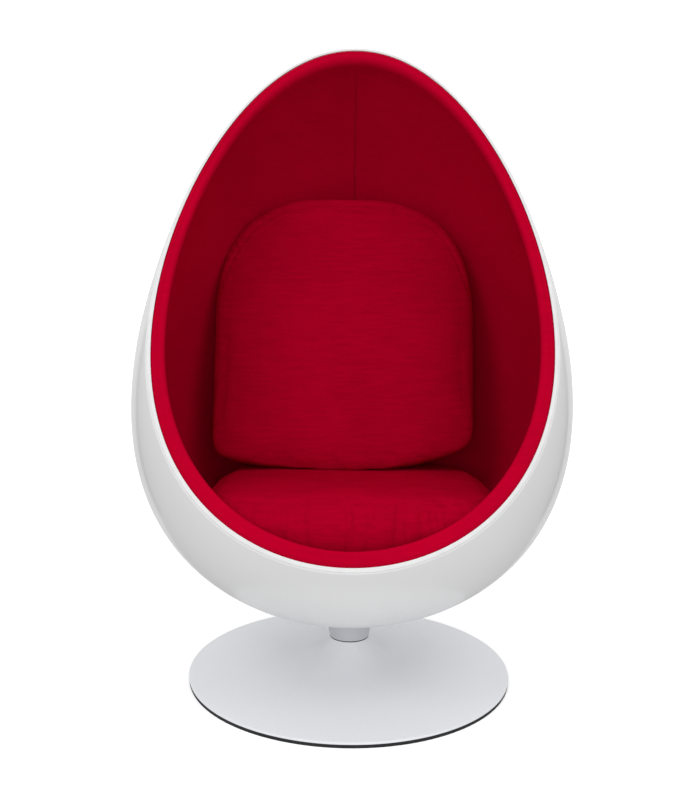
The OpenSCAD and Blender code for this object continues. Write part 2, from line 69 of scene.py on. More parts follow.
class Wrap(Enum):
    """How a grid's far edge joins its near edge."""

    OPEN = 0
    CLOSED = 1


# ---------------------------------------------------------------- forms


@dataclass(frozen=True)
class EggForm:
    """The egg that the shell and every layer inside it follow, in metres."""

    radius: float = 0.440
    length: float = 1.190
    taper: float = 0.576
    shoulder: float = 0.158
    pole: float = 0.115
    tilt: float = math.radians(7)
    lean: float = math.radians(24)
    front: float = 0.442

    def curve(self, t: np.ndarray) -> np.ndarray:
        """Root of (1 - t squared) over (1 + taper t + shoulder t squared), for t from -1 to 1."""
        top = np.clip(1 - t * t, 0, None)
        return np.sqrt(top / (1 + self.taper * t + self.shoulder * t * t))

    @cached_property
    def peak(self) -> float:
        """The curve's highest value."""
        return float(self.curve(np.linspace(-1, 1, 4001)).max())

    def girth(self, z: np.ndarray, depth: np.ndarray | float = 0.0) -> np.ndarray:
        """Radius at a height above the pole, for an egg lying a depth inside the outer one.

        Args:
            z: heights above the lower pole.
            depth: how far inside the outer egg.

        Returns:
            Radii, zero beyond the poles.
        """
        half = self.length / 2 - depth
        t = (z - self.length / 2) / half
        inside = np.abs(t) < 1
        value = (self.radius - depth) * self.curve(np.clip(t, -1, 1)) / self.peak
        return np.where(inside, value, 0.0)

    def to_row(self, points: np.ndarray) -> np.ndarray:
        """Turns pod-frame points back by the tilt, and lifts them by the pole's height.

        Args:
            points: (..., 3) places in the pod's own frame.

        Returns:
            The same places in the row frame.
        """
        x, y, z = np.moveaxis(np.asarray(points, float), -1, 0)
        c, s = math.cos(self.tilt), math.sin(self.tilt)
        return np.stack([x, y * c + z * s, self.pole - y * s + z * c], -1)

    def to_pod(self, points: np.ndarray) -> np.ndarray:
        """Undoes to_row: drops points by the pole's height, and turns them upright.

        Args:
            points: (..., 3) places in the row frame.

        Returns:
            The same places in the pod's own frame.
        """
        x, y, z = np.moveaxis(np.asarray(points, float), -1, 0)
        z = z - self.pole
        c, s = math.cos(self.tilt), math.sin(self.tilt)
        return np.stack([x, y * c - z * s, y * s + z * c], -1)

    def plane(self, u: np.ndarray, v: np.ndarray, depth: np.ndarray | float) -> np.ndarray:
        """Steps across and up the opening's leaning plane, and square to it behind it.

        Args:
            u: places across.
            v: places up the plane.
            depth: how far behind the plane.

        Returns:
            Pod-frame points.
        """
        c, s = math.cos(self.lean), math.sin(self.lean)
        u, v, depth = np.broadcast_arrays(u, v, depth)
        return np.stack([u, v * s + depth * c - self.front, v * c - depth * s], -1)

    def rim(
        self, angle: np.ndarray, inset: np.ndarray | float, depth: np.ndarray | float
    ) -> np.ndarray:
        """Where a ray in the opening's plane, moved back by a depth, meets an inset egg.

        Args:
            angle: directions in the plane, from the right, towards the top at a quarter turn.
            inset: how far inside the outer egg.
            depth: how far behind the opening's plane.

        Returns:
            Pod-frame points, found by halving the ray's length.
        """
        angle, inset, depth = np.broadcast_arrays(angle, inset, depth)
        middle = self.length / 2 / math.cos(self.lean)
        low = np.zeros(angle.shape)
        high = np.full(angle.shape, self.length)
        for _ in range(30):
            r = (low + high) / 2
            p = self.plane(r * np.cos(angle), middle + r * np.sin(angle), depth)
            out = np.hypot(p[..., 0], p[..., 1]) > self.girth(p[..., 2], inset)
            low, high = np.where(out, low, r), np.where(out, r, high)
        return self.plane(low * np.cos(angle), middle + low * np.sin(angle), depth)

    def meridian(
        self, azimuth: np.ndarray, z: np.ndarray, inset: np.ndarray | float
    ) -> np.ndarray:
        """Pod-frame points on an inset egg, by azimuth from the back and height."""
        r = self.girth(z, inset)
        return np.stack([r * np.sin(azimuth), r * np.cos(azimuth), z + 0 * azimuth], -1)

    def skin(
        self, azimuth: np.ndarray, top: np.ndarray, low: float, inset: float, rows: int
    ) -> np.ndarray:
        """Columns of points up an inset egg, by equal steps of its own angle.

        The angle's cosine is the height from the middle over the inset egg's half length.

        Args:
            azimuth: each column's direction from the back.
            top: each column's highest point, above the pole.
            low: the height at which all columns start.
            inset: how far inside the outer egg.
            rows: points in a column.

        Returns:
            (rows, columns, 3) pod-frame points.
        """
        half, reach = self.length / 2, self.length / 2 - inset
        start = math.acos((half - low) / reach)
        end = np.arccos(np.clip((half - top) / reach, -1, 1))
        end = np.maximum(end, start + LEAST_ARC)
        t = np.linspace(0, 1, rows)[:, None]
        z = half - reach * np.cos(start + (end - start)[None, :] * t)
        return self.meridian(azimuth[None, :] + 0 * t, z, inset)


EGG = EggForm()


def ease(t: np.ndarray) -> np.ndarray:
    """Smooth step from 0 to 1: three t squared less two t cubed."""
    t = np.clip(t, 0, 1)
    return t * t * (3 - 2 * t)


def dent(x: np.ndarray, width: float) -> np.ndarray:
    """A bell of height 1: e to the minus (x over width) squared."""
    return np.exp(-((x / width) ** 2))


def running_length(points: np.ndarray) -> np.ndarray:
    """Distance along a line of points from its first, by adding up the steps."""
    return np.concatenate([[0], np.cumsum(np.linalg.norm(np.diff(points, axis=0), axis=1))])


def waves(points: np.ndarray, pitch: float, seed: int, parts: int = 7) -> np.ndarray:
    """Soft irregular swell: a sum of sines in seeded directions, from about -1 to 1.

    Args:
        points: places, (..., 3).
        pitch: mean wavelength in metres.
        seed: picks the directions and phases.
        parts: number of sines.

    Returns:
        One value for each point.
    """
    rng = np.random.default_rng(seed)
    total = np.zeros(points.shape[:-1])
    for _ in range(parts):
        way = rng.normal(size=3)
        way /= np.linalg.norm(way)
        turn = 2 * math.pi / (pitch * rng.uniform(0.6, 1.7))
        total += np.sin(points @ way * turn + rng.uniform(0, 2 * math.pi))
    return total / math.sqrt(parts)


# ---------------------------------------------------------------- mesh making


def grid_faces(rows: int, cols: int, wrap_rows: Wrap, wrap_cols: Wrap) -> np.ndarray:
    """Quads of a grid of points, row by row.

    Args:
        rows: number of rows.
        cols: points in a row.
        wrap_rows: whether the last row joins the first.
        wrap_cols: whether a row's end joins its start.

    Returns:
        (faces, 4) indices.
    """
    i = np.arange(rows if wrap_rows is Wrap.CLOSED else rows - 1)
    j = np.arange(cols if wrap_cols is Wrap.CLOSED else cols - 1)
    i, j = np.meshgrid(i, j, indexing="ij")
    k, m = (i + 1) % rows, (j + 1) % cols
    quads = [i * cols + j, i * cols + m, k * cols + m, k * cols + j]
    return np.stack([q.ravel() for q in quads], -1)


def read(items: bpy.types.bpy_prop_collection, key: str, width: int, kind: type = float) -> np.ndarray:
    """One property of a mesh's parts.

    Args:
        items: the mesh's vertices, loops or triangles.
        key: the property's name.
        width: how many values it has.
        kind: float or int.

    Returns:
        (items, width) values.
    """
    values = np.empty(len(items) * width, kind)
    items.foreach_get(key, values)
    return values.reshape(-1, width)


def add_object(name: str, data: bpy.types.ID) -> Piece:
    """A new object in the scene.

    Args:
        name: its name.
        data: the mesh, camera or light that it shows.

    Returns:
        The object, at the origin.
    """
    obj = bpy.data.objects.new(name, data)
    bpy.context.scene.collection.objects.link(obj)
    return obj


def add_mesh(name: str, points: np.ndarray, faces: np.ndarray | list, sharp: float) -> Piece:
    """A smooth-shaded mesh object at the origin, its normals made to point outwards.

    Args:
        name: the piece's name.
        points: (n, 3) places in the row frame.
        faces: quads, or lists of indices.
        sharp: edges that bend more than this many degrees stay sharp.

    Returns:
        The new object.
    """
    mesh = bpy.data.meshes.new(name)
    listed = faces.tolist() if isinstance(faces, np.ndarray) else faces
    mesh.from_pydata(np.asarray(points, float).tolist(), [], listed)
    mesh.validate()
    obj = add_object(name, mesh)
    outward(obj)
    mesh.shade_smooth()
    mesh.set_sharp_from_angle(angle=math.radians(sharp))
    return obj


def add_ring_mesh(name: str, grid: np.ndarray, sharp: float) -> Piece:
    """The mesh of a (rows, cols, 3) grid that joins itself both ways."""
    faces = grid_faces(*grid.shape[:2], Wrap.CLOSED, Wrap.CLOSED)
    return add_mesh(name, grid.reshape(-1, 3), faces, sharp)


def outward(obj: Piece) -> None:
    """Turns a closed mesh inside out if its volume, a sum of signed tetrahedra, is negative.

    Args:
        obj: the piece.
    """
    mesh = obj.data
    mesh.calc_loop_triangles()
    v = read(mesh.vertices, "co", 3)
    t = read(mesh.loop_triangles, "vertices", 3, int)
    a, b, c = (v[t[:, k]] for k in range(3))
    if np.einsum("ij,ij->i", a, np.cross(b, c)).sum() < 0:
        mesh.flip_normals()


def get_points(obj: Piece) -> np.ndarray:
    """A mesh object's vertices as an (n, 3) array."""
    return read(obj.data.vertices, "co", 3)


def set_points(obj: Piece, points: np.ndarray) -> None:
    """Writes an (n, 3) array into a mesh object's vertices."""
    obj.data.vertices.foreach_set("co", np.asarray(points, float).ravel())
    obj.data.update()


def add_uv(obj: Piece, uv: np.ndarray) -> None:
    """Gives a mesh a UV map.

    Args:
        obj: the piece.
        uv: one (u, v) in metres for each vertex.
    """
    layer = obj.data.uv_layers.new(name="cloth")
    corner = read(obj.data.loops, "vertex_index", 1, int)[:, 0]
    layer.data.foreach_set("uv", uv[corner].ravel())


def slab(front: np.ndarray, back: np.ndarray) -> tuple[np.ndarray, np.ndarray]:
    """A closed sheet from two grids of the same shape.

    Args:
        front: (rows, cols, 3) points of one side.
        back: the matching points of the other side.

    Returns:
        Points and quads: both sides, and a strip along each of the four edges.
    """
    rows, cols = front.shape[:2]
    n = rows * cols
    f = grid_faces(rows, cols, Wrap.OPEN, Wrap.OPEN)
    b = f[:, ::-1] + n
    i, j = np.arange(rows) * cols, np.arange(cols)
    edge = np.concatenate([j, i[1:] + cols - 1, (rows - 1) * cols + j[-2::-1], i[-2:0:-1]])
    after = np.roll(edge, -1)
    strip = np.stack([after, edge, edge + n, after + n], -1)
    points = np.concatenate([front.reshape(-1, 3), back.reshape(-1, 3)])
    return points, np.concatenate([f, b, strip])


def lathe(name: str, profile: np.ndarray, around: int) -> Piece:
    """A profile of (radius, height) spun about the row frame's Z axis.

    Args:
        name: the piece's name.
        profile: (n, 2) points.
        around: steps in a turn.

    Returns:
        The new object.
    """
    a = np.linspace(0, 2 * math.pi, around, endpoint=False)[None, :]
    r, z = profile[:, :1], profile[:, 1:]
    grid = np.stack([r * np.cos(a), r * np.sin(a), z + 0 * a], -1)
    return add_ring_mesh(name, grid, 35)


def put(obj: Piece, body: Body, finish: Finish, slot: str, *nodes: str) -> Piece:
    """Finishes a piece: its material, its body and the CAD nodes it stands for.

    Args:
        obj: the piece.
        body: what it moves with.
        finish: its material.
        slot: the record's material slot; not used.
        nodes: CAD nodes that it replaces.

    Returns:
        The same piece.
    """
    obj.data.materials.clear()
    obj.data.materials.append(finish)
    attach(obj, body.value)
    if nodes:
        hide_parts(*nodes)
    LOG.info("%s rides on %s, %d faces", obj.name, body.value, len(obj.data.polygons))
    return obj


# ---------------------------------------------------------------- finishes


class Nodes:
    """A small helper that adds and links shader nodes in one material."""

    def __init__(self, name: str) -> None:
        """Starts a node material with a Principled shader.

        Args:
            name: the material's name.
        """
        self.material = bpy.data.materials.new(name)
        self.material.use_nodes = True
        self.tree = self.material.node_tree
        self.shader = self.tree.nodes["Principled BSDF"]

    def add(self, kind: str, **values: object) -> bpy.types.Node:
        """Adds a node and sets its properties, or its sockets where a name is one.

        Args:
            kind: the node's Blender type.
            values: properties or socket values; a space in a socket's name is an underscore.

        Returns:
            The node.
        """
        node = self.tree.nodes.new(kind)
        for key, value in values.items():
            socket = key.replace("_", " ")
            if hasattr(node, key):
                setattr(node, key, value)
            elif socket in node.inputs:
                node.inputs[socket].default_value = value
            else:
                raise KeyError(f"{kind} has no {key}")
        return node

    def link(self, source: Socket, target: Socket) -> None:
        """Joins two sockets."""
        self.tree.links.new(source, target)

    def set(self, **values: object) -> None:
        """Sets the Principled shader's own sockets."""
        for key, value in values.items():
            self.shader.inputs[key.replace("_", " ")].default_value = value

    def place(self, uv: bool = False) -> Socket:
        """Where a pattern is read.

        Args:
            uv: reads the piece's own UV map, not its Object coordinates.

        Returns:
            The places' socket.
        """
        if uv:
            return self.add("ShaderNodeUVMap", uv_map="cloth").outputs["UV"]
        return self.add("ShaderNodeTexCoord").outputs["Object"]

    def noise(self, place: Socket, scale: float, detail: float) -> Socket:
        """A noise pattern.

        Args:
            place: where it is read.
            scale: cycles per metre.
            detail: how many finer layers it has.

        Returns:
            The value's socket.
        """
        node = self.add("ShaderNodeTexNoise", Scale=scale, Detail=detail)
        self.link(place, node.inputs["Vector"])
        return node.outputs["Fac"]

    def stretch(self, place: Socket, along: tuple) -> Socket:
        """Places with each axis multiplied, so that a pattern on them is drawn out.

        Args:
            place: the places.
            along: each axis's factor.

        Returns:
            The new places' socket.
        """
        node = self.add("ShaderNodeVectorMath", operation="MULTIPLY")
        self.link(place, node.inputs[0])
        node.inputs[1].default_value = along
        return node.outputs["Vector"]

    def paint(self, value: Socket, low: float, high: float, dark: tuple, light: tuple) -> None:
        """The base colour: between two colours, by a value between two limits.

        Args:
            value: the value.
            low: the value that gives dark.
            high: the value that gives light.
            dark: first colour.
            light: second colour.
        """
        node = self.add("ShaderNodeValToRGB")
        a, b = node.color_ramp.elements
        a.position, b.position = low, high
        a.color, b.color = (*dark, 1), (*light, 1)
        self.link(value, node.inputs["Fac"])
        self.link(node.outputs["Color"], self.shader.inputs["Base Color"])

    def span(
        self, value: Socket, to_low: float, to_high: float, low: float = 0.3, high: float = 0.7
    ) -> Socket:
        """Maps a value from one range to another, in a straight line.

        Args:
            value: the value.
            to_low: what low becomes.
            to_high: what high becomes.
            low: start of the first range, a noise's usual low.
            high: end of the first range, a noise's usual high.

        Returns:
            The new value's socket.
        """
        node = self.add("ShaderNodeMapRange", From_Min=low, From_Max=high, To_Min=to_low, To_Max=to_high)
        self.link(value, node.inputs["Value"])
        return node.outputs["Result"]

    def roughen(self, value: Socket, low: float, high: float) -> None:
        """The roughness: a noise spread between two values."""
        self.link(self.span(value, low, high), self.shader.inputs["Roughness"])

    def bump(self, height: Socket, depth: float, strength: float) -> None:
        """Adds a bump on top of any bump already there.

        Args:
            height: the pattern.
            depth: how deep it is, in metres.
            strength: how much of it shows.
        """
        node = self.add("ShaderNodeBump", Strength=strength, Distance=depth)
        self.link(height, node.inputs["Height"])
        normal = self.shader.inputs["Normal"]
        if normal.links:
            self.link(normal.links[0].from_socket, node.inputs["Normal"])
        self.link(node.outputs["Normal"], normal)

    def mix(self, kind: str, a: Socket, b: Socket) -> Socket:
        """One sum, product or the like of two values.

        Args:
            kind: the operation, as Blender names it.
            a: first value.
            b: second value.

        Returns:
            The result's socket.
        """
        node = self.add("ShaderNodeMath", operation=kind)
        self.link(a, node.inputs[0])
        self.link(b, node.inputs[1])
        return node.outputs["Value"]


def shade(colour: tuple, factor: float) -> tuple:
    """A colour made darker or lighter by a factor."""
    return tuple(min(1.0, c * factor) for c in colour)


@dataclass(frozen=True)
class GelCoat:
    """White gloss gelcoat over glass fibre, with the faint swell of a hand-finished mould."""

    name: str = "white_gelcoat"
    colour: tuple = (0.83, 0.83, 0.83)
    roughness: float = 0.34

    def build(self) -> Finish:
        """Returns the material."""
        n = Nodes(self.name)
        n.set(Coat_Weight=0.4, Coat_Roughness=0.08, IOR=1.45)
        place = n.place()
        tone = n.noise(place, 3.0, 3)
        n.paint(tone, 0.3, 0.7, shade(self.colour, 0.985), self.colour)
        n.roughen(n.noise(place, 60, 2), self.roughness - 0.03, self.roughness + 0.04)
        n.bump(n.noise(place, 9, 1), 0.0012, 0.25)
        n.bump(n.noise(place, 420, 1), 0.00004, 0.3)
        return n.material


@dataclass(frozen=True)
class PowderCoat:
    """Silver-grey powder coat with a fine orange-peel grain and metal flake."""

    name: str = "silver_powder_coat"
    colour: tuple = (0.77, 0.78, 0.81)
    roughness: float = 0.42

    def build(self) -> Finish:
        """Returns the material."""
        n = Nodes(self.name)
        n.set(Metallic=0.1, Specular_IOR_Level=0.5)
        place = n.place()
        flake = n.noise(place, 1800, 1)
        n.paint(flake, 0.35, 0.7, shade(self.colour, 0.93), shade(self.colour, 1.06))
        n.roughen(n.noise(place, 14, 3), self.roughness - 0.04, self.roughness + 0.05)
        n.bump(n.noise(place, 700, 2), 0.00006, 0.5)
        return n.material


@dataclass(frozen=True)
class WoolCloth:
    """Felted wool cloth: two crossing sets of threads under a soft nap.

    The weave is the product of two sines of the place, one along each set of threads.
    """

    name: str
    colour: tuple
    thread: float = 0.0011
    on_surface: bool = False
    nap: float = 0.35
    slub: float = 0.3

    def build(self) -> Finish:
        """Returns the material."""
        n = Nodes(self.name)
        n.set(Roughness=0.95, Specular_IOR_Level=0.0, Sheen_Weight=self.nap, Sheen_Roughness=0.45)
        n.set(Sheen_Tint=(*shade(self.colour, 1.6), 1))
        place = n.place(self.on_surface)
        flat = n.place()
        patch = n.noise(flat, 7, 4)
        fleck = n.noise(flat, 900, 2)
        slub = n.noise(n.stretch(flat, (0.1, 0.1, 1.0)), 190, 3)
        tone = n.mix("ADD", n.span(patch, -0.5, 0.5), n.span(fleck, -0.35, 0.35))
        tone = n.mix("ADD", tone, n.span(slub, -self.slub, self.slub))
        tone = n.span(tone, 0, 1, -0.8, 0.8)
        n.paint(tone, 0, 1, shade(self.colour, 0.9), shade(self.colour, 1.08))
        weave = None
        ways = ((1, 0, 0), (0, 1, 0)) if self.on_surface else ((1, 0, 0), (0, 0.7, 0.7))
        for way in ways:
            turn = n.add("ShaderNodeVectorMath", operation="DOT_PRODUCT")
            n.link(place, turn.inputs[0])
            turn.inputs[1].default_value = way
            wave = n.add("ShaderNodeMath", operation="SINE")
            scale = n.add("ShaderNodeMath", operation="MULTIPLY")
            scale.inputs[1].default_value = math.pi / self.thread
            n.link(turn.outputs["Value"], scale.inputs[0])
            n.link(scale.outputs["Value"], wave.inputs[0])
            value = wave.outputs["Value"]
            weave = value if weave is None else n.mix("MULTIPLY", weave, value)
        n.bump(weave, 0.00025, 0.5)
        n.bump(fleck, 0.0004, 0.55)
        n.bump(slub, 0.0012, 0.6 * self.slub)
        n.bump(patch, 0.003, 0.12)
        return n.material


@dataclass(frozen=True)
class MouldedRubber:
    """Matt black rubber with a faint bloom."""

    name: str = "black_rubber"
    colour: tuple = (0.012, 0.012, 0.014)

    def build(self) -> Finish:
        """Returns the material."""
        n = Nodes(self.name)
        n.set(Specular_IOR_Level=0.35)
        place = n.place()
        n.paint(n.noise(place, 45, 4), 0.35, 0.75, self.colour, shade(self.colour, 1.7))
        n.roughen(n.noise(place, 120, 2), 0.55, 0.72)
        n.bump(n.noise(place, 1500, 2), 0.00008, 0.5)
        return n.material


@dataclass(frozen=True)
class WorkedMetal:
    """Ground, plated or primed metal, with fine tool marks."""

    name: str
    colour: tuple
    metallic: float = 1.0
    roughness: float = 0.32

    def build(self) -> Finish:
        """Returns the material."""
        n = Nodes(self.name)
        n.set(Metallic=self.metallic)
        place = n.place()
        n.paint(n.noise(place, 30, 4), 0.3, 0.75, shade(self.colour, 0.86), self.colour)
        stretched = n.add("ShaderNodeMapping")
        stretched.inputs["Scale"].default_value = (1, 1, 30)
        n.link(place, stretched.inputs["Vector"])
        marks = n.noise(stretched.outputs["Vector"], 60, 3)
        n.roughen(marks, self.roughness - 0.06, self.roughness + 0.1)
        n.bump(marks, 0.00003, 0.4)
        return n.material


@dataclass(frozen=True)
class PlainPlastic:
    """Turned nylon or cut foam: a soft, slightly mottled solid."""

    name: str
    colour: tuple
    roughness: float = 0.5
    grain: float = 500.0
    depth: float = 0.00005

    def build(self) -> Finish:
        """Returns the material."""
        n = Nodes(self.name)
        n.set(Roughness=self.roughness)
        place = n.place()
        n.paint(n.noise(place, 40, 3), 0.3, 0.7, shade(self.colour, 0.93), self.colour)
        n.bump(n.noise(place, self.grain, 3), self.depth, 0.6)
        return n.material


@dataclass(frozen=True)
class ClothSet:
    """One red wool in three strengths: its own on the rim roll, and darker copies on the cushions and on
    the wall that paint the shade inside the pod.
    """

    rim: Finish
    cushion: Finish
    liner: Finish


# ---------------------------------------------------------------- pod


@dataclass
class PodShell:
    """The moulded egg: outer skin, rounded cut edge, inner skin and flat foot."""

    wall: float = 5 * MM
    foot: float = 3 * MM
    pad: float = 12 * MM
    hole: float = 24 * MM
    edge_round: float = 1.6 * MM
    stations: int = 320
    rows: int = 110
    inner_rows: int = 60

    def section(self, angle: np.ndarray) -> np.ndarray:
        """The closed section at each rim station, as (rows, stations, 3) pod-frame points.

        Up the outer skin by equal steps of the egg's own angle, round the cut edge by two
        quarter circles, down the inner skin, in over the pad, down the hole and out.

        Args:
            angle: rim directions.

        Returns:
            The grid of points.
        """
        rim = EGG.rim(angle, 0.0, self.edge_round)
        azimuth = np.unwrap(np.arctan2(rim[..., 0], rim[..., 1]))
        outer = EGG.skin(azimuth, rim[..., 2], self.foot, 0.0, self.rows)
        k = np.linspace(0, math.pi / 2, 6)[1:]
        e = self.edge_round
        first = [EGG.rim(angle, e - e * math.cos(t), e - e * math.sin(t)) for t in k]
        second = [EGG.rim(angle, self.wall - e + e * math.sin(t), e - e * math.cos(t)) for t in k[:-1]]
        inner_rim = EGG.rim(angle, self.wall, e)
        inner_azimuth = np.unwrap(np.arctan2(inner_rim[..., 0], inner_rim[..., 1]))
        inner = EGG.skin(inner_azimuth, inner_rim[..., 2], self.pad, self.wall, self.inner_rows)[::-1]
        centre = [self.ring(azimuth, self.hole, z) for z in (self.pad, self.foot)]
        return np.stack([*outer, *first, *second, *inner, *centre])

    def ring(self, azimuth: np.ndarray, radius: float, z: float) -> np.ndarray:
        """One circle of points round the egg's axis."""
        return np.stack([radius * np.sin(azimuth), radius * np.cos(azimuth), z + 0 * azimuth], -1)

    def build(self, finish: Finish) -> Piece:
        """Builds the shell from its section at every rim station.

        Args:
            finish: its material.

        Returns:
            The piece.
        """
        angle = np.linspace(0, 2 * math.pi, self.stations, endpoint=False) + math.pi / 2
        obj = add_ring_mesh("pod_shell", EGG.to_row(self.section(angle)), 50)
        return put(obj, Body.POD, finish, "shell_gloss", "shell")


@dataclass
class RimRoll:
    """The padded roll round the opening, with its sewn line and the white bead beside it."""

    outside: float = 7.6 * MM
    width: float = 28 * MM
    taper: float = 4.5 * MM
    nose: float = 12 * MM
    crown: float = 3 * MM
    reach: float = 36 * MM
    seam_share: float = 0.36
    seam_depth: float = 1.9 * MM
    seam_width: float = 0.045
    swell_rise: float = 0.5 * MM
    pucker_rise: float = 0.16 * MM
    ease_rise: float = 0.35 * MM
    outer_power: float = 5.0
    inner_power: float = 2.05
    join_depth: float = 0.8 * MM
    join_width: float = 0.008
    bead_out: float = 5.3 * MM
    bead_in: float = 7.1 * MM
    cap_out: float = 0.9 * MM
    cap_in: float = 7.6 * MM
    cap_rise: float = 1.7 * MM
    cap_low: float = -0.2 * MM
    bead_depth: float = 12 * MM
    stations: int = 640

    def profile(self) -> tuple[np.ndarray, np.ndarray, np.ndarray]:
        """The roll's section: inset, depth and share of the width, from the outer back corner.

        Straight sides, and a nose of two superellipse quarters: square where it is pressed
        against the bead, and an ellipse on the inner side.

        Returns:
            Insets, depths and shares across the width.
        """
        b = np.linspace(0, math.pi, 45)
        c, s = np.cos(b), np.sin(b)
        power = np.where(c > 0, 2 / self.outer_power, 2 / self.inner_power)
        across = 0.5 - 0.5 * np.sign(c) * np.abs(c) ** power
        depth = self.nose - (self.nose + self.crown) * s**power
        side = np.linspace(self.reach, self.nose, 7)[:-1]
        across = np.concatenate([0 * side, across, 0 * side + 1])
        depth = np.concatenate([side, depth, side[::-1]])
        return self.outside + self.width * across, depth, across

    def build(self, cloth: Finish) -> Piece:
        """Builds the roll: the section at every rim station, with the seam sunk in its nose.

        The inner side draws back as it goes in, except along the bottom, where the seat deck
        meets it. The nose is pushed in by a bell along the seam and by a short one where the
        cloth's ends join at the top, and out by two bells beside the seam.

        Args:
            cloth: its finish.

        Returns:
            The piece.
        """
        inset, depth, across = self.profile()
        angle = np.linspace(0, 2 * math.pi, self.stations, endpoint=False)
        inward = np.clip((depth - self.nose) / (self.reach - self.nose), 0, 1)
        draw = self.taper * inward * (across > 0.5)
        inset = inset[:, None] - draw[:, None] * ease(np.sin(angle) + 0.4)[None, :]
        front = ease((self.nose - depth) / self.nose)
        groove = dent(across - self.seam_share, self.seam_width) * front
        swell = dent(across - self.seam_share + 0.16, 0.12) + dent(across - self.seam_share - 0.2, 0.15)
        swell = swell * front
        base = EGG.rim(angle[None, :], inset, depth[:, None])
        pucker = waves(base, 0.016, 5) * dent(across - self.seam_share, 0.2)[:, None] * front[:, None]
        lazy = waves(base, 0.13, 6) * front[:, None]
        push = self.seam_depth * groove[:, None] - self.swell_rise * swell[:, None]
        push = push + self.pucker_rise * pucker + self.ease_rise * lazy
        join = dent(angle - math.pi / 2, self.join_width)[None, :] * front[:, None]
        push = push + self.join_depth * join
        grid = EGG.to_row(EGG.rim(angle[None, :], inset, depth[:, None] + push))
        obj = add_ring_mesh("rim_roll", grid, 60)
        self.lay_cloth(obj, grid)
        put(obj, Body.POD, cloth, "rim_fabric", "rim_band", "rim_foam")
        return obj

    def lay_cloth(self, obj: Piece, grid: np.ndarray) -> None:
        """Gives the roll its UV map: lengths along the rim's middle, and round the section.

        Args:
            obj: the roll.
            grid: its (section, stations, 3) points.
        """
        along = running_length(grid[len(grid) // 2])
        u, v = np.meshgrid(along, running_length(grid[:, 0]))
        add_uv(obj, np.stack([u.ravel(), v.ravel()], -1))

    def build_bead(self, vinyl: Finish) -> Piece:
        """Builds the vinyl bead: a strip in the joint under a low, flat-topped cap that hides it.

        The cap's section is a superellipse of power four.

        Args:
            vinyl: its material.

        Returns:
            The piece.
        """
        b = np.linspace(0, math.pi, 13)
        c = np.sign(np.cos(b)) * np.sqrt(np.abs(np.cos(b)))
        across = (self.cap_out + self.cap_in) / 2 - (self.cap_in - self.cap_out) / 2 * c
        cap = self.cap_low - self.cap_rise * np.sqrt(np.abs(np.sin(b)))
        inset = np.concatenate([[self.bead_out, self.bead_out], across, [self.bead_in, self.bead_in]])
        depth = np.concatenate([[self.bead_depth, self.cap_low], cap, [self.cap_low, self.bead_depth]])
        angle = np.linspace(0, 2 * math.pi, 400, endpoint=False)
        grid = EGG.to_row(EGG.rim(angle[None, :], inset[:, None], depth[:, None]))
        obj = add_ring_mesh("rim_bead_strip", grid, 60)
        return put(obj, Body.POD, vinyl, "trim_white", "rim_bead")


class Side(Enum):
    """The two halves of the lining, by the sign of X."""

    LEFT = -1
    RIGHT = 1


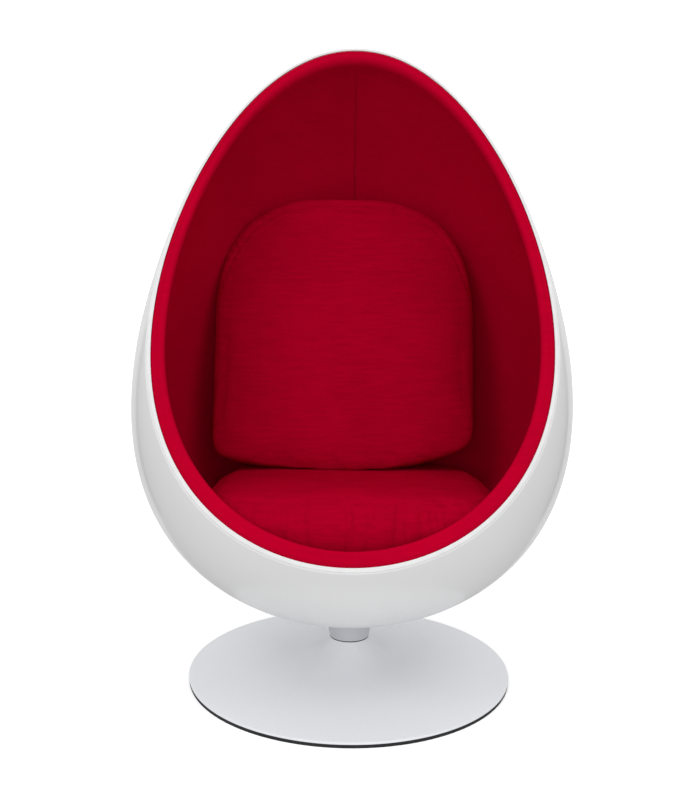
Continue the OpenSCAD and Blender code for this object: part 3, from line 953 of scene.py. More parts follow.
@dataclass
class Lining:
    """The cloth on the pod's wall, in two halves sewn together up the middle of the back."""

    outer: float = 27.6 * MM
    inner: float = 29.6 * MM
    deck: float = 174.6 * MM
    edge: float = 34 * MM
    turn: float = math.radians(178)
    seam_gap: float = 0.03 * MM
    seam_sink: float = 1.9 * MM
    seam_width: float = 2.2 * MM
    seam_plump: float = 1.2 * MM
    pucker_rise: float = 0.35 * MM
    ease_rise: float = 0.9 * MM
    deck_top: float = 174.3 * MM
    deck_gap: float = 0.4 * MM
    deck_front: float = 36.6 * MM
    deck_sheet: float = 2 * MM
    rows: int = 150
    cols: int = 220

    def half(self, side: Side, inset: float) -> np.ndarray:
        """One face of a half: columns from the back seam round to the front, rows going up.

        The columns lie closer together near the seam, and end at the turn from the rim's top.

        Args:
            side: which half.
            inset: the face's depth inside the egg.

        Returns:
            (rows, cols, 3) pod-frame points.
        """
        t = np.linspace(0, 1, self.cols)
        angle = math.pi / 2 - side.value * (0.1 * t + 0.9 * t**2) * self.turn
        top = EGG.rim(angle, inset, self.edge)
        azimuth = np.arctan2(top[:, 0], top[:, 1])
        azimuth[0] = 0.0
        return EGG.skin(azimuth, top[:, 2], self.deck, inset, self.rows)

    def sew(self, face: np.ndarray, side: Side) -> np.ndarray:
        """Lets the cloth swell softly, pucker and sink towards the seam at X = 0.

        A narrow bell sinks it at the seam, a wider one beside it plumps it up, and seeded
        waves pucker and ease it. All but the first fade at the seam itself.

        Args:
            face: the half's (rows, cols, 3) points.
            side: which half.

        Returns:
            The points, moved square to the egg's axis.
        """
        x = np.abs(face[..., 0])
        outward_way = face * [1, 1, 0]
        outward_way /= np.maximum(np.linalg.norm(outward_way, axis=-1, keepdims=True), 1e-9)
        sink = self.seam_sink * dent(x, self.seam_width)
        plump = self.seam_plump * dent(x - 9 * MM, 7 * MM)
        pucker = self.pucker_rise * waves(face * [1, 1, 3], 0.05, 11 + side.value) * dent(x, 22 * MM)
        lazy = self.ease_rise * (waves(face, 0.33, 3) - 0.6)
        keep = 1 - dent(x, 1 * MM)
        shift = sink - (plump + pucker) * keep - np.clip(-lazy, 0, None) * keep
        out = face + outward_way * shift[..., None]
        out[:, 0, 0] = side.value * self.seam_gap
        return out

    def build_half(self, side: Side, cloth: Finish) -> Piece:
        """Builds one half as a closed sheet, with a UV map of lengths across and up it.

        Args:
            side: which half.
            cloth: its material.

        Returns:
            The piece.
        """
        face = EGG.to_row(self.sew(self.half(side, self.inner), side))
        back = self.half(side, self.outer)
        back[:, 0, 0] = side.value * self.seam_gap
        points, faces = slab(face, EGG.to_row(back))
        word = side.name.lower()
        obj = add_mesh(f"lining_{word}", points, faces, 60)
        height = running_length(face[:, 0])
        step = np.linalg.norm(np.diff(face, axis=1), axis=-1)
        width = np.concatenate([np.zeros((self.rows, 1)), np.cumsum(step, axis=1)], axis=1)
        uv = np.stack([width, height[:, None] + 0 * width], -1).reshape(-1, 2)
        add_uv(obj, np.concatenate([uv, uv]))
        put(obj, Body.POD, cloth, "liner_fabric", f"liner_{word}")
        return obj

    def build_deck(self, cloth: Finish) -> Piece:
        """Builds the cloth over the seat base: a disc with its front cut off behind the roll.

        Args:
            cloth: its material.

        Returns:
            The piece.
        """
        z = self.deck_top
        limit = float(EGG.girth(np.array(z), self.outer)) - self.deck_gap
        azimuth = np.linspace(0, 2 * math.pi, 200, endpoint=False)
        front_y = z * math.tan(EGG.lean) - EGG.front + self.deck_front / math.cos(EGG.lean)
        ahead = np.clip(-np.cos(azimuth), 1e-6, None)
        reach = np.minimum(limit, np.where(np.cos(azimuth) < 0, -front_y / ahead, FAR))
        share = np.linspace(0.0, 1, 30)[1:, None]
        x, y = share * reach * np.sin(azimuth), share * reach * np.cos(azimuth)
        upper, under = (np.stack([x, y, h + 0 * x], -1) for h in (z, z - self.deck_sheet))
        grid = np.concatenate([upper, under[::-1]])
        points = EGG.to_row(grid).reshape(-1, 3)
        rows, cols = grid.shape[:2]
        quads = grid_faces(rows, cols, Wrap.OPEN, Wrap.CLOSED).tolist()
        first = list(range(cols))
        last = [(rows - 1) * cols + k for k in range(cols)][::-1]
        obj = add_mesh("seat_deck_cloth", points, [*quads, first, last], 50)
        add_uv(obj, grid.reshape(-1, 3)[:, :2])
        put(obj, Body.POD, cloth, "liner_fabric", "seat_deck")
        return obj


# ---------------------------------------------------------------- cushions


@dataclass
class Cushion:
    """What both cushions share: filling with cloth simulation, and wrinkles."""

    name: str
    voxel: float = 5.5 * MM
    pressure: float = 4.0
    cap: float = 12 * MM
    frames: int = 20
    wall_inset: float = 30.4 * MM
    clear: float = 0.6 * MM

    def close(self, grid: np.ndarray) -> Piece:
        """Makes the mesh from rings, with a fan of triangles at both ends.

        Args:
            grid: (rings, cols, 3) pod-frame points, from the bottom or the front.

        Returns:
            The piece.
        """
        rows, cols = grid.shape[:2]
        poles = np.stack([grid[0].mean(0), grid[-1].mean(0)])
        points = np.concatenate([grid.reshape(-1, 3), poles])
        quads = grid_faces(rows, cols, Wrap.OPEN, Wrap.CLOSED).tolist()
        j = np.arange(cols)
        m = (j + 1) % cols
        last = (rows - 1) * cols
        low = np.stack([m, j, 0 * j + rows * cols], -1).tolist()
        high = np.stack([last + j, last + m, 0 * j + rows * cols + 1], -1).tolist()
        return add_mesh(self.name, EGG.to_row(points), [*quads, *low, *high], 180)

    def keep_in(self, pod: np.ndarray) -> np.ndarray:
        """Draws pod-frame points that pass the lining straight in towards the egg's axis.

        Args:
            pod: pod-frame points, changed in place.

        Returns:
            The same points.
        """
        r = np.hypot(pod[:, 0], pod[:, 1])
        limit = EGG.girth(pod[:, 2], self.wall_inset + self.clear)
        pod[:, :2] *= np.minimum(1, limit / np.maximum(r, 1e-6))[:, None]
        return pod

    def plump(self, obj: Piece) -> None:
        """Fills the cover: a voxel remesh, some frames of cloth under pressure, a capped move.

        Args:
            obj: the cushion's closed start shape.
        """
        remesh = obj.modifiers.new("even", "REMESH")
        remesh.mode = "VOXEL"
        remesh.voxel_size = self.voxel
        apply_modifiers(obj)
        start = get_points(obj)
        cloth = obj.modifiers.new("cloth", "CLOTH")
        held = cloth.settings
        held.quality = 4
        held.mass = 0.25
        held.tension_stiffness = held.compression_stiffness = 12
        held.shear_stiffness = 5
        held.bending_stiffness = 0.4
        held.use_pressure = True
        held.uniform_pressure_force = self.pressure
        held.effector_weights.gravity = 0
        cloth.point_cache.frame_start = 1
        cloth.point_cache.frame_end = self.frames
        scene = bpy.context.scene
        for number in range(1, self.frames + 1):
            scene.frame_set(number)
        apply_modifiers(obj)
        move = get_points(obj) - start
        size = np.linalg.norm(move, axis=1, keepdims=True)
        set_points(obj, start + move * np.minimum(1, self.cap / np.maximum(size, 1e-9)))
        scene.frame_set(1)

    def refit(self, angle: np.ndarray, share: np.ndarray, at_side: np.ndarray) -> np.ndarray:
        """How much to widen the filled cushion so that it meets its cut outline again.

        The largest share of the outline that the sides reach, in 240 sectors, smoothed round
        the ring by a short bell, and its inverse read off at each point's angle.

        Args:
            angle: each point's direction from the middle.
            share: each point's distance over the outline's distance.
            at_side: which points may set the reach.

        Returns:
            One factor for each point.
        """
        count = 240
        sector = np.floor((angle + math.pi) / (2 * math.pi) * count).astype(int) % count
        reach = np.zeros(count)
        np.maximum.at(reach, sector[at_side], share[at_side])
        reach = np.where(reach < 0.5, 1.0, reach)
        bell = np.array([0.1, 0.25, 0.3, 0.25, 0.1])
        smooth = sum(w * np.roll(reach, k - 2) for k, w in enumerate(bell))
        middle = (np.arange(-1, count + 1) + 0.5) / count * 2 * math.pi - math.pi
        ring = np.concatenate([smooth[-1:], smooth, smooth[:1]])
        return 1 / np.clip(np.interp(angle, middle, ring), 0.85, 1.1)


def apply_modifiers(obj: Piece) -> None:
    """Replaces a mesh by what its modifiers make of it, and removes them.

    Args:
        obj: the piece.
    """
    depsgraph = bpy.context.evaluated_depsgraph_get()
    depsgraph.update()
    made = bpy.data.meshes.new_from_object(obj.evaluated_get(depsgraph))
    old = obj.data
    obj.modifiers.clear()
    obj.data = made
    bpy.data.meshes.remove(old)


def subdivide(obj: Piece) -> None:
    """Smooths a piece by one applied level of subdivision.

    Args:
        obj: the piece.
    """
    level = obj.modifiers.new("smooth", "SUBSURF")
    level.levels = level.render_levels = 1
    apply_modifiers(obj)
    obj.data.shade_smooth()


def vertex_normals(obj: Piece) -> np.ndarray:
    """A mesh object's vertex normals as an (n, 3) array."""
    return read(obj.data.vertices, "normal", 3)


@dataclass
class SeatCushion(Cushion):
    """The thick boxed seat cushion, wedged between the walls of the bowl."""

    name: str = "seat_cushion"
    width: float = 592 * MM
    side: float = 104 * MM
    crown: float = 14 * MM
    setback: float = 42 * MM
    pressure: float = 2.5
    cap: float = 7 * MM
    floor: float = 174.6 * MM
    middle: float = 45 * MM
    corner: float = 12.0
    seam_rise: float = 3 * MM
    seam_sink: float = 3.2 * MM
    seam_width: float = 3.4 * MM
    fold_width: float = 6.5 * MM
    fold_drift: float = 5 * MM
    fold_depth: float = 4.6 * MM
    fold_shares: tuple = (
        (-0.62, 0.5), (-0.4, 0.6), (-0.27, 0.8), (-0.02, 1.0), (0.11, 0.6), (0.29, 0.8),
        (0.36, 0.45), (0.45, 0.9), (0.51, 1.0), (0.59, 0.7), (0.69, 0.55),
    )

    @property
    def seam(self) -> float:
        """Height of the upper seam above the pole."""
        return self.floor + self.side

    def spread(self, a: np.ndarray, z: np.ndarray) -> np.ndarray:
        """Distance from the middle to the outline in a direction.

        The smallest of the ways to the lining, to the sides and to a front that leans with
        the opening, taken as a power mean so that the corners are rounded.

        Args:
            a: directions, from the right.
            z: heights above the pole.

        Returns:
            Distances.
        """
        r = EGG.girth(z, self.wall_inset)
        wall = np.sqrt(r * r - (self.middle * np.cos(a)) ** 2) - self.middle * np.sin(a)
        side = self.width / 2 / np.maximum(np.abs(np.cos(a)), 1e-3)
        face = z * math.tan(EGG.lean) - EGG.front + self.setback / math.cos(EGG.lean)
        front = np.where(np.sin(a) < 0, (self.middle - face) / np.maximum(-np.sin(a), 1e-6), FAR)
        p = self.corner
        return (wall**-p + side**-p + np.minimum(front, FAR) ** -p) ** (-1 / p)

    def start_shape(self, shrink: float) -> Piece:
        """The boxed form: a flat floor, sides that bulge between the seams and a crowned top.

        Each ring is a share of the outline: rising along the floor, a seam's share plus a
        bulge of a power of the sine up the side, and a power of the cosine over the crown.

        Args:
            shrink: how far the form stays inside the filled cushion.

        Returns:
            The piece, closed.
        """
        a = np.linspace(0, 2 * math.pi, 180, endpoint=False)
        rows = [(s, 0.0, 0.0) for s in np.linspace(0.06, 0.94, 12)]
        for t in np.linspace(0, 1, 16):
            rows.append((0.965 + 0.035 * math.sin(math.pi * t) ** 0.6, t, 0.0))
        for t in np.linspace(0.02, 0.97, 24):
            q = t * math.pi / 2
            rows.append((0.965 * math.cos(q) ** 0.55, 1.0, math.sin(q) ** 1.1))
        share, rise, top = (np.array(c)[:, None] for c in zip(*rows))
        z = self.floor + shrink + rise * (self.side - 2 * shrink) + top * self.crown
        r = share * self.spread(a[None, :], np.minimum(z, self.seam)) - shrink
        grid = np.stack([r * np.cos(a), self.middle + r * np.sin(a), z + 0 * a], -1)
        return self.close(grid)

    def hold(self, pod: np.ndarray) -> np.ndarray:
        """Keeps pod-frame points above the deck and inside the lining.

        Args:
            pod: pod-frame points.

        Returns:
            A copy of them, moved where they would cut in.
        """
        pod = pod.copy()
        pod[:, 2] = np.maximum(pod[:, 2], self.floor + 0.3 * MM)
        return self.keep_in(pod)

    def folds(self, pod: np.ndarray) -> np.ndarray:
        """The front's upright folds: two seeded swells, less a bell for each fold.

        Each bell drifts sideways by a sine of the height, and all grow towards the right.

        Args:
            pod: pod-frame points.

        Returns:
            How far each point moves out.
        """
        uneven = 0.55 + 0.5 * ease((pod[:, 0] + 40 * MM) / (120 * MM))
        folds = waves(pod * [1.0, 0.12, 0.16], 0.05, 21) * 2.2 * MM * uneven
        folds += waves(pod * [1.0, 0.1, 0.1], 0.022, 23) * 0.5 * MM * uneven
        for place, deep in self.fold_shares:
            drift = self.fold_drift * np.sin((self.seam - pod[:, 2]) / (26 * MM) + 9 * place)
            across = pod[:, 0] - place * self.width / 2 - drift
            folds -= deep * self.fold_depth * dent(across, self.fold_width)
        return folds

    def wrinkle(self, obj: Piece) -> None:
        """Sinks the seam round the top, folds the front and lets the top ease.

        Each point moves along its normal: in by a bell round the seam and by a second one
        along the top's front edge, out or in by the folds and by a slow swell of the top.

        Args:
            obj: the filled cushion.
        """
        points, normal = get_points(obj), vertex_normals(obj)
        pod = EGG.to_pod(points)
        a = np.arctan2(pod[:, 1] - self.middle, pod[:, 0])
        r = np.hypot(pod[:, 0], pod[:, 1] - self.middle)
        share = r / self.spread(a, np.full(len(a), self.seam))
        away = pod[:, 2] - (self.seam + self.seam_rise)
        sink = self.seam_sink * dent(away, self.seam_width) * ease((share - 0.9) / 0.04)
        front_face = ease((-np.sin(a) - 0.25) / 0.5) * ease((share - 0.9) / 0.08)
        front_face = front_face * ease((self.seam + 14 * MM - pod[:, 2]) / (30 * MM))
        top = ease((pod[:, 2] - self.seam - 4 * MM) / (12 * MM))
        lazy = waves(pod * [0.5, 1.2, 1], 0.17, 29) * 1.1 * MM * top
        second = 0.9 * MM * dent(pod[:, 1] + 235 * MM, 5 * MM) * dent(pod[:, 0] + 20 * MM, 260 * MM)
        push = self.folds(pod) * front_face + lazy - sink - second * top
        set_points(obj, EGG.to_row(self.hold(EGG.to_pod(points + normal * push[:, None]))))

    def build(self, cloth: Finish) -> Piece:
        """Builds, fills, wrinkles and dresses the seat cushion.

        Args:
            cloth: its material.

        Returns:
            The piece.
        """
        obj = self.start_shape(4 * MM)
        self.plump(obj)
        pod = EGG.to_pod(get_points(obj))
        a = np.arctan2(pod[:, 1] - self.middle, pod[:, 0])
        z = np.minimum(pod[:, 2], self.seam)
        share = np.hypot(pod[:, 0], pod[:, 1] - self.middle) / self.spread(a, z)
        grow = self.refit(a, share, pod[:, 2] < self.seam + 6 * MM)
        pod[:, 0] *= grow
        pod[:, 1] = self.middle + (pod[:, 1] - self.middle) * grow
        set_points(obj, EGG.to_row(self.hold(pod)))
        subdivide(obj)
        self.wrinkle(obj)
        put(
            obj, Body.POD, cloth, "cushion_fabric",
            "seat_cushion_core", "seat_cushion_cover", "seat_cushion_zip",
        )
        return obj


@dataclass
class BackCushion(Cushion):
    """The loose back cushion: an arched, boxed pad that leans on the lining."""

    name: str = "back_cushion"
    width: float = 564 * MM
    height: float = 600 * MM
    thick: float = 92 * MM
    pressure: float = 1.5
    cap: float = 5 * MM
    crown: float = 16 * MM
    lean: float = math.radians(11.5)
    back: float = 95 * MM
    aside: float = -19 * MM
    foot: float = 295 * MM
    middle_share: float = 0.51
    arch: float = 2.65
    corner: float = 16.0
    border: float = 30 * MM
    drawback: float = 24 * MM
    bow_left: float = 0.1
    bow_right: float = 0.19
    ray_height: float = 0.45
    side_sink: float = 1.7 * MM
    top_sink: float = 2.7 * MM
    band_rise: float = 1.6 * MM

    @property
    def middle(self) -> float:
        """Height of the outline's middle above its foot."""
        return self.middle_share * self.height

    def outline(self, a: np.ndarray) -> np.ndarray:
        """An arched upper half over a boxed lower half with a bowed bottom edge.

        Args:
            a: directions, from the right.

        Returns:
            (n, 2) places across and up from the middle.
        """
        up = np.sin(a) >= 0
        w = self.width / 2
        h = np.where(up, self.height - self.middle, self.middle)
        p = np.where(up, self.arch, self.corner)
        r = (np.abs(np.cos(a) / w) ** p + np.abs(np.sin(a) / h) ** p) ** (-1 / p)
        bow = np.where(np.cos(a) > 0, self.bow_right, self.bow_left)
        bow = np.where(up, 0, bow * (r * np.cos(a) / w) ** 2)
        return np.stack([r * np.cos(a), r * np.sin(a) * (1 - bow)], -1)

    def edge(self, angle: np.ndarray) -> np.ndarray:
        """Distance from the middle to the outline in a direction, read off a fine table."""
        table = self.outline(np.linspace(-math.pi, math.pi, 4001))
        return np.interp(angle, np.arctan2(table[:, 1], table[:, 0]), np.linalg.norm(table, axis=1))

    def bend(self, x: np.ndarray) -> np.ndarray:
        """How far the face draws back towards the wall: the fourth power of the share across."""
        return self.drawback * np.minimum(np.abs(x) / (self.width / 2), 1.1) ** 4

    def tighten(self, own: np.ndarray) -> np.ndarray:
        """Draws the front's rounded border out to the outline, as a taut cover does.

        An inset i inside the border b becomes b (i / b) ^ 1.8, less and less towards the back.

        Args:
            own: points of the cushion's own frame.

        Returns:
            The points, moved outwards.
        """
        up = own[:, 2] - self.middle
        distance = np.maximum(np.hypot(own[:, 0], up), MM)
        inset = np.clip(self.edge(np.arctan2(up, own[:, 0])) - distance, 0, self.border)
        out = inset - self.border * (inset / self.border) ** 1.8
        grow = 1 + out * ease((45 * MM - own[:, 1] + self.bend(own[:, 0])) / (30 * MM)) / distance
        return np.stack([own[:, 0] * grow, own[:, 1], self.middle + up * grow], -1)

    def to_pod(self, p: np.ndarray) -> np.ndarray:
        """Leans points of the cushion's own frame back, and sets them in the pod.

        Args:
            p: (..., 3) places in the cushion's own frame.

        Returns:
            The same places in the pod's frame.
        """
        x, y, z = np.moveaxis(p, -1, 0)
        c, s = math.cos(self.lean), math.sin(self.lean)
        return np.stack([self.aside + x, self.back + y * c + z * s, self.foot - y * s + z * c], -1)

    def from_pod(self, p: np.ndarray) -> np.ndarray:
        """Undoes to_pod.

        Args:
            p: (..., 3) places in the pod's frame.

        Returns:
            The same places in the cushion's own frame.
        """
        x, y, z = np.moveaxis(p, -1, 0)
        y, z = y - self.back, z - self.foot
        c, s = math.cos(self.lean), math.sin(self.lean)
        return np.stack([x - self.aside, y * c - z * s, y * s + z * c], -1)

    def room(self, x: np.ndarray, z: np.ndarray) -> np.ndarray:
        """Thickness that the lining leaves behind places of the face, found by halving.

        Args:
            x: places across.
            z: places up.

        Returns:
            Thicknesses, at most the cushion's own.
        """
        low, high = np.zeros(x.shape), np.full(x.shape, self.thick)
        for _ in range(24):
            y = (low + high) / 2
            p = self.to_pod(np.stack([x, y, z], -1))
            out = np.hypot(p[..., 0], p[..., 1]) > EGG.girth(p[..., 2], self.wall_inset)
            low, high = np.where(out, low, y), np.where(out, y, high)
        return low

    def start_shape(self, shrink: float) -> Piece:
        """The boxed form: a crowned front, bulging sides, and a back that follows the lining.

        The rings are shares of the outline, as the seat cushion's are, from the front to the
        back. A term in the sine of four times the angle crowds points into the corners.

        Args:
            shrink: how far the form stays inside the filled cushion.

        Returns:
            The piece, closed.
        """
        a = np.linspace(0, 2 * math.pi, 200, endpoint=False)
        a = a + 0.078 * math.pi / 2 * np.sin(4 * a)
        rows = []
        for t in np.linspace(0.97, 0.02, 24):
            q = t * math.pi / 2
            rows.append((0.99 * math.cos(q) ** 0.5, 0.0, -math.sin(q) ** 1.1))
        for t in np.linspace(0, 1, 16):
            rows.append((0.99 + 0.01 * math.sin(math.pi * t) ** 0.6, t, 0.0))
        rows += [(s, 1.0, 0.0) for s in np.linspace(0.93, 0.06, 12)]
        share, depth, top = (np.array(c)[:, None] for c in zip(*rows))
        edge = self.outline(a)
        length = np.linalg.norm(edge, axis=1)
        spread = share - shrink / length[None, :]
        x, z = edge[:, 0] * spread, self.middle + edge[:, 1] * spread
        t = self.room(x, z)
        front = self.bend(x)
        y = front + shrink + depth * np.maximum(t - front - 2 * shrink, 8 * MM) + top * self.crown
        z = z + y * math.tan(self.lean) * np.clip(-edge[:, 1] / self.middle, 0, None)
        return self.close(self.to_pod(np.stack([x, y, z], -1)))

    def hold(self, pod: np.ndarray, seat: BVHTree) -> np.ndarray:
        """Keeps pod-frame points inside the lining and above the seat cushion.

        Low points are lifted to where a ray straight down the pod meets the seat cushion.

        Args:
            pod: pod-frame points.
            seat: the seat cushion's surface, in the row frame.

        Returns:
            A copy of them, moved where they would cut in.
        """
        pod = self.keep_in(pod.copy())
        low = np.flatnonzero(pod[:, 2] < self.foot + 45 * MM)
        top = EGG.to_row(np.concatenate([pod[low, :2], np.full((len(low), 1), self.ray_height)], 1))
        down = Vector((0, -math.sin(EGG.tilt), -math.cos(EGG.tilt)))
        for index, start in zip(low, top):
            hit = seat.ray_cast(Vector(start), down)
            if hit[0] is not None:
                pod[index, 2] = max(pod[index, 2], self.ray_height - hit[3] + self.clear)
        return pod

    def wrinkle(self, obj: Piece, seat: BVHTree) -> None:
        """Sinks the seam, with small tucks beside it, and lets the face ease.

        Each point moves along its normal: in by a bell along the seam, which runs on the face
        at the top and on the side elsewhere, and out or in by seeded waves.

        Args:
            obj: the filled cushion.
            seat: the seat cushion's surface.
        """
        points, normal = get_points(obj), vertex_normals(obj)
        own = self.from_pod(EGG.to_pod(points))
        up = own[:, 2] - self.middle
        a = np.arctan2(up, own[:, 0])
        edge = self.edge(a)
        share = np.hypot(own[:, 0], up) / edge
        at_edge = ease((share - 0.9) / 0.05)
        over = ease((np.sin(a) - 0.12) / 0.5)
        inset = (1 - share) * edge
        behind = own[:, 1] - self.bend(own[:, 0])
        ahead = ease((22 * MM - behind) / (10 * MM))
        under = ease((-np.sin(a) - 0.3) / 0.4)
        round_side = dent(behind - (1 + 11 * under) * MM, 3.4 * MM) * at_edge * (1 - over)
        along_top = dent(inset - (2 * MM + 17 * MM * over), 3.2 * MM) * ahead * over
        band = dent(inset - 8 * MM, 9 * MM) * ahead * over
        sink = self.side_sink * round_side + self.top_sink * along_top - self.band_rise * band
        shoulder = 0.15 + dent(np.hypot(own[:, 0] + 210 * MM, up - 190 * MM), 110 * MM)
        near_seam = dent(inset - (2 * MM + 15 * MM * over), 14 * MM) * ahead
        near_seam = near_seam * ease((up + 60 * MM) / (80 * MM))
        tucks = waves(own * [1, 0.3, 1], 0.022, 31) * 0.8 * MM * near_seam * shoulder
        face = ease((0.96 - share) / 0.1) * (behind < 20 * MM)
        lazy = waves(own * [1, 1, 0.8], 0.2, 33) * 1.2 * MM * face
        low = ease((60 * MM - own[:, 2]) / (60 * MM))
        folds = waves(own * [1, 0.2, 0.4], 0.05, 35) * 0.7 * MM * low
        push = tucks + lazy + folds - sink
        pod = EGG.to_pod(points + normal * push[:, None])
        set_points(obj, EGG.to_row(self.hold(pod, seat)))

    def build(self, cloth: Finish, seat: Piece) -> Piece:
        """Builds, fills, wrinkles and dresses the back cushion.

        Args:
            cloth: its material.
            seat: the seat cushion, which it stands on.

        Returns:
            The piece.
        """
        tree = BVHTree.FromObject(seat, bpy.context.evaluated_depsgraph_get())
        obj = self.start_shape(3.5 * MM)
        self.plump(obj)
        own = self.from_pod(EGG.to_pod(get_points(obj)))
        up = own[:, 2] - self.middle
        a = np.arctan2(up, own[:, 0])
        share = np.hypot(own[:, 0], up) / self.edge(a)
        grow = self.refit(a, share, own[:, 1] > -5 * MM)
        own[:, 0] *= grow
        own[:, 2] = self.middle + up * grow
        own = self.tighten(own)
        set_points(obj, EGG.to_row(self.hold(self.to_pod(own), tree)))
        subdivide(obj)
        self.wrinkle(obj, tree)
        put(
            obj, Body.POD, cloth, "cushion_fabric",
            "back_cushion_core", "back_cushion_cover", "back_cushion_zip",
        )
        return obj


# ---------------------------------------------------------------- base


@dataclass
class TrumpetBase:
    """The spun cover: a shallow dome that flares up into a neck."""

    radius: float = 327 * MM
    low: float = 7 * MM
    edge: float = 11 * MM
    dome: float = 6 * MM
    neck: float = 82 * MM
    neck_radius: float = 39.5 * MM
    hole: float = 28 * MM
    flare: float = 40 * MM
    sheet: float = 2 * MM
    lip: float = 1.3 * MM
    around: int = 256

    def height(self, r: np.ndarray) -> np.ndarray:
        """Edge height, plus a parabola's dome, plus the neck's rise falling off by e.

        Args:
            r: distances from the axis.

        Returns:
            Heights of the top.
        """
        dome = self.dome * (1 - (r / self.radius) ** 2)
        rise = self.neck - self.edge - self.dome * (1 - (self.neck_radius / self.radius) ** 2)
        return self.edge + dome + rise * np.exp(-(r - self.neck_radius) / self.flare)

    def build(self, finish: Finish) -> Piece:
        """Builds the cover as a closed sheet: the top, a rounded edge and the underside.

        The underside is the top, moved square to itself by the sheet's thickness.

        Args:
            finish: its material.

        Returns:
            The piece.
        """
        t = np.linspace(0, 1, 90) ** 1.5
        r = self.neck_radius + (self.radius - self.lip - self.neck_radius) * t
        z = self.height(r)
        slope = np.gradient(z, r)
        size = np.hypot(1, slope)
        under = np.stack([r + self.sheet * slope / size, z - self.sheet / size], -1)
        k = np.linspace(math.pi / 2, 0, 8)[1:]
        e = self.lip
        centre_z = float(self.height(np.array(self.radius - e))) - e
        lip = np.stack([self.radius - e + e * np.cos(k), centre_z + e * np.sin(k)], -1)
        inside = self.radius - self.sheet
        wall = [[self.radius, self.low], [inside, self.low], [inside, centre_z - 0.2 * MM]]
        kept = (under[:, 0] < inside - 0.8 * MM) & (under[:, 1] < self.neck - self.sheet - MM)
        under = under[kept][::-1]
        neck = [[self.hole, self.neck - self.sheet], [self.hole, self.neck]]
        profile = np.concatenate([np.stack([r, z], -1), lip, wall, under, neck])
        obj = lathe("base_trumpet", profile, self.around)
        return put(obj, Body.BASE, finish, "silver_paint", "base_cover")


@dataclass
class Hardware:
    """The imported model's own parts that stay, by finish."""

    parts: dict[str, tuple[str, ...]]

    def dress(self, finishes: dict[str, Finish]) -> None:
        """Gives each node its finish.

        Args:
            finishes: the materials, by finish.
        """
        for finish, names in self.parts.items():
            for name in names:
                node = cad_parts[name]
                node.data.materials.clear()
                node.data.materials.append(finishes[finish])
                LOG.info("%s keeps its solid, in %s", name, finish)


HARDWARE = Hardware(
    {
        # The collar's finish: satin grey, made darker than the base's silver to paint the shadow that
        # the pod casts over it.
        "satin_painted_shade": ("collar",),
        "primed": ("base_plate", "column", "swivel_hub", "anchor_plate"),
        "bright": (
            "column_bolts", "spindle", "lower_race", "upper_race", "spindle_nut", "bearing_balls",
            "anchor_bolts", "anchor_washers", "anchor_nuts",
        ),
        "brass": ("bearing_cage",),
        "nylon": ("lower_bush", "upper_bush", "top_washer"),
        "rubber": ("floor_gasket", "neck_washer"),
        "foam": ("foam_lining", "seat_base"),
    }
)


# ---------------------------------------------------------------- studio


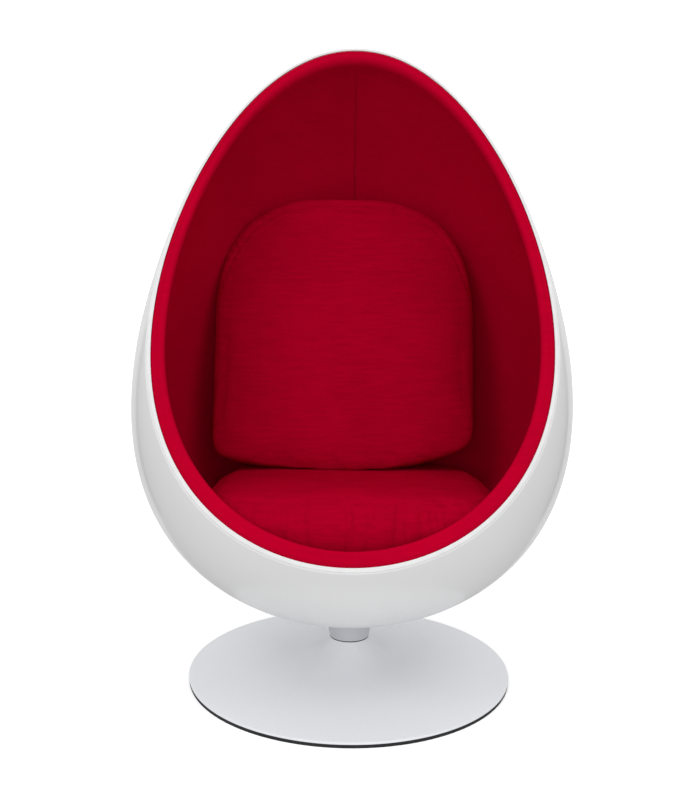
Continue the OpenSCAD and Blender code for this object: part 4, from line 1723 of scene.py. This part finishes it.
@dataclass
class Studio:
    """Pale floor, soft light and the camera at the photograph's place."""

    frame_height: float = 800
    focal: float = 1152.2
    centre_x: float = 352.155
    frame_width: float = 700
    place: tuple = (-0.0027, -2.2396, 0.9969)
    pitch: float = 0.1867
    yaw: float = 0.0012
    roll: float = 0.0125
    floor_glow: float = 0.3
    sky_low: float = 0.4
    sky_high: float = 0.9
    horizon: float = 0.9
    bounce: float = 0.85
    bounce_radius: float = 0.75
    backdrop_radius: float = 50.0

    def add_camera(self) -> None:
        """Looks along +Y, pitched down and rolled a little, with the fitted lens."""
        data = bpy.data.cameras.new("camera")
        data.sensor_width = 36
        data.lens = 36 * self.focal / self.frame_height
        data.shift_x = -(self.centre_x - self.frame_width / 2) / self.frame_height
        camera = add_object("camera", data)
        right = Vector((1, 0, 0))
        up = Vector((0, math.sin(self.pitch), math.cos(self.pitch)))
        ahead = Vector((0, math.cos(self.pitch), -math.sin(self.pitch)))
        turn = Matrix.Rotation(-self.yaw, 3, "Z")
        c, s = math.cos(self.roll), math.sin(self.roll)
        x, y = turn @ (right * c + up * s), turn @ (up * c - right * s)
        axes = Matrix((x, y, turn @ -ahead)).transposed()
        camera.matrix_world = Matrix.Translation(self.place) @ axes.to_4x4()
        bpy.context.scene.camera = camera

    def add_sky(self) -> None:
        """A surround that is white at the horizon and dimmer above and below it."""
        world = bpy.data.worlds.new("studio")
        world.use_nodes = True
        tree = world.node_tree
        place = tree.nodes.new("ShaderNodeTexCoord")
        split = tree.nodes.new("ShaderNodeSeparateXYZ")
        span = tree.nodes.new("ShaderNodeMapRange")
        span.inputs["From Min"].default_value = -1.0
        ramp = tree.nodes.new("ShaderNodeValToRGB")
        tree.links.new(place.outputs["Generated"], split.inputs["Vector"])
        tree.links.new(split.outputs["Z"], span.inputs["Value"])
        tree.links.new(span.outputs["Result"], ramp.inputs["Fac"])
        tree.links.new(ramp.outputs["Color"], tree.nodes["Background"].inputs["Color"])
        steps = (
            (0.485, self.sky_low), (0.487, self.horizon),
            (0.585, self.horizon), (0.61, self.sky_high),
        )
        for height, _ in steps[1:3]:
            ramp.color_ramp.elements.new(height)
        for stop, (height, tone) in zip(ramp.color_ramp.elements, steps):
            stop.position = height
            stop.color = (tone, tone, tone, 1)
        bpy.context.scene.world = world

    def add_backdrop(self) -> None:
        """A white surround that only the camera sees, so that gloss mirrors the dimmer studio."""
        n = Nodes("studio_backdrop")
        n.set(Base_Color=(1, 1, 1, 1), Emission_Color=(1, 1, 1, 1), Emission_Strength=1.0)
        t = np.linspace(-math.pi / 2, math.pi / 2, 25)
        profile = self.backdrop_radius * np.stack([np.cos(t), np.sin(t)], -1)
        obj = lathe("studio_backdrop", profile[1:-1], 48)
        obj.data.materials.append(n.material)
        obj.visible_diffuse = obj.visible_glossy = obj.visible_transmission = obj.visible_shadow = False

    def add_card(self, name: str, corners: list[tuple], tone: float, glow: float) -> Piece:
        """A flat card of the studio, unseen by the camera and throwing no shadow.

        Args:
            name: the card's name.
            corners: its corners in order.
            tone: its own grey.
            glow: how strongly it shines.

        Returns:
            The card.
        """
        n = Nodes(name)
        n.set(Base_Color=(tone, tone, tone, 1), Roughness=1.0)
        n.set(Emission_Color=(1, 1, 1, 1), Emission_Strength=glow)
        mesh = bpy.data.meshes.new(name)
        mesh.from_pydata(corners, [], [tuple(range(len(corners)))])
        mesh.materials.append(n.material)
        obj = add_object(name, mesh)
        obj.visible_camera = obj.visible_shadow = False
        return obj

    def add_cards(self) -> None:
        """White behind the chair between two dim flags for the gloss, and a bright floor under it."""
        reach, low, high, grey = 4.0, -1.5, 3.4, 0.02
        for name, middle, half, glow in (
            ("studio_white", 0.0, 39.5, 0.85),
            ("studio_left_flag", -43.0, 3.0, 0.05),
            ("studio_right_flag", 43.0, 3.0, 0.05),
        ):
            turns = (math.radians(middle - half), math.radians(middle + half))
            (x0, y0), (x1, y1) = ((reach * math.sin(t), reach * math.cos(t)) for t in turns)
            corners = [(x0, y0, low), (x1, y1, low), (x1, y1, high), (x0, y0, high)]
            card = self.add_card(name, corners, grey, glow)
            card.visible_diffuse = False
        r = self.bounce_radius
        ring = [
            (r * math.cos(a), r * math.sin(a), -2 * MM)
            for a in np.linspace(0, 2 * math.pi, 48, endpoint=False)
        ]
        card = self.add_card("studio_bounce", ring, grey, self.bounce)
        card.visible_glossy = False

    def add_light(self, name: str, place: tuple, aim: tuple, size: tuple, power: float) -> None:
        """An oblong soft light.

        Args:
            name: the light's name.
            place: where it stands.
            aim: what it points at.
            size: its width and height in metres.
            power: its power in watts.
        """
        data = bpy.data.lights.new(name, "AREA")
        data.shape = "RECTANGLE"
        data.size, data.size_y = size
        data.energy = power
        light = add_object(name, data)
        way = Vector(aim) - Vector(place)
        turn = way.to_track_quat("-Z", "Y").to_matrix().to_4x4()
        light.matrix_world = Matrix.Translation(place) @ turn

    def build(self) -> None:
        """Builds the floor, the world, the lights and the camera."""
        floor = bpy.data.meshes.new("floor")
        floor.from_pydata([(-60, -60, 0), (60, -60, 0), (60, 60, 0), (-60, 60, 0)], [], [(0, 1, 2, 3)])
        obj = add_object("floor", floor)
        n = Nodes("studio_floor")
        n.set(Base_Color=(0.9, 0.9, 0.9, 1), Roughness=0.9, Specular_IOR_Level=0.1)
        n.set(Emission_Color=(1, 1, 1, 1), Emission_Strength=self.floor_glow)
        floor.materials.append(n.material)
        obj.visible_diffuse = obj.visible_glossy = False
        self.add_sky()
        self.add_backdrop()
        self.add_cards()
        self.add_light("front", (-0.1, -3.2, 1.1), (0, 0, 0.6), (1.0, 0.8), 17)
        self.add_light("left_key", (-1.8, -2.0, 3.1), (0, 0, 0.6), (1.2, 1.2), 18)
        self.add_light("right_key", (1.6, -1.8, 3.2), (0, 0, 0.6), (1.4, 1.0), 14)
        bpy.context.scene.view_settings.view_transform = "Standard"
        self.add_camera()


def main() -> None:
    """Builds every sub-assembly in order."""
    logging.basicConfig(level=logging.INFO, format="%(relativeCreated)7d ms  %(message)s")
    Studio().build()
    rubber = MouldedRubber().build()
    silver = PowderCoat().build()
    # The cushions' and the lining's reds are darker copies of the roll's wool: painted shade of the
    # pod's inside.
    red = ClothSet(
        rim=WoolCloth("rim_wool", (0.46, 0.0003, 0.0205), on_surface=True).build(),
        cushion=WoolCloth("cushion_wool_painted_shade", (0.375, 0.0003, 0.0165), slub=0.7).build(),
        liner=WoolCloth("liner_wool", (0.42, 0.0003, 0.0185), on_surface=True).build(),
    )
    HARDWARE.dress(
        {
            # The collar's paint: satin grey, darkened to paint the pod's shadow over the collar.
            "satin_painted_shade": PowderCoat("collar_paint_painted_shade", (0.53, 0.54, 0.57)).build(),
            "primed": WorkedMetal("grey_primer", (0.33, 0.34, 0.35), 0.2, 0.55).build(),
            "bright": WorkedMetal("plated_steel", (0.62, 0.62, 0.63)).build(),
            "brass": WorkedMetal("cage_brass", (0.72, 0.55, 0.25)).build(),
            "nylon": PlainPlastic("bush_nylon", (0.86, 0.85, 0.8)).build(),
            "rubber": rubber,
            "foam": PlainPlastic("cut_foam", (0.82, 0.74, 0.5), 0.95, 900, 0.0006).build(),
        }
    )
    PodShell().build(GelCoat().build())
    roll = RimRoll()
    roll.build(red.rim)
    roll.build_bead(PlainPlastic("white_vinyl", (0.74, 0.74, 0.74), 0.4).build())
    lining = Lining()
    lining.build_half(Side.LEFT, red.liner)
    lining.build_half(Side.RIGHT, red.liner)
    lining.build_deck(red.liner)
    seat = SeatCushion().build(red.cushion)
    BackCushion().build(red.cushion, seat)
    TrumpetBase().build(silver)


if __name__ == "__main__":
    main()
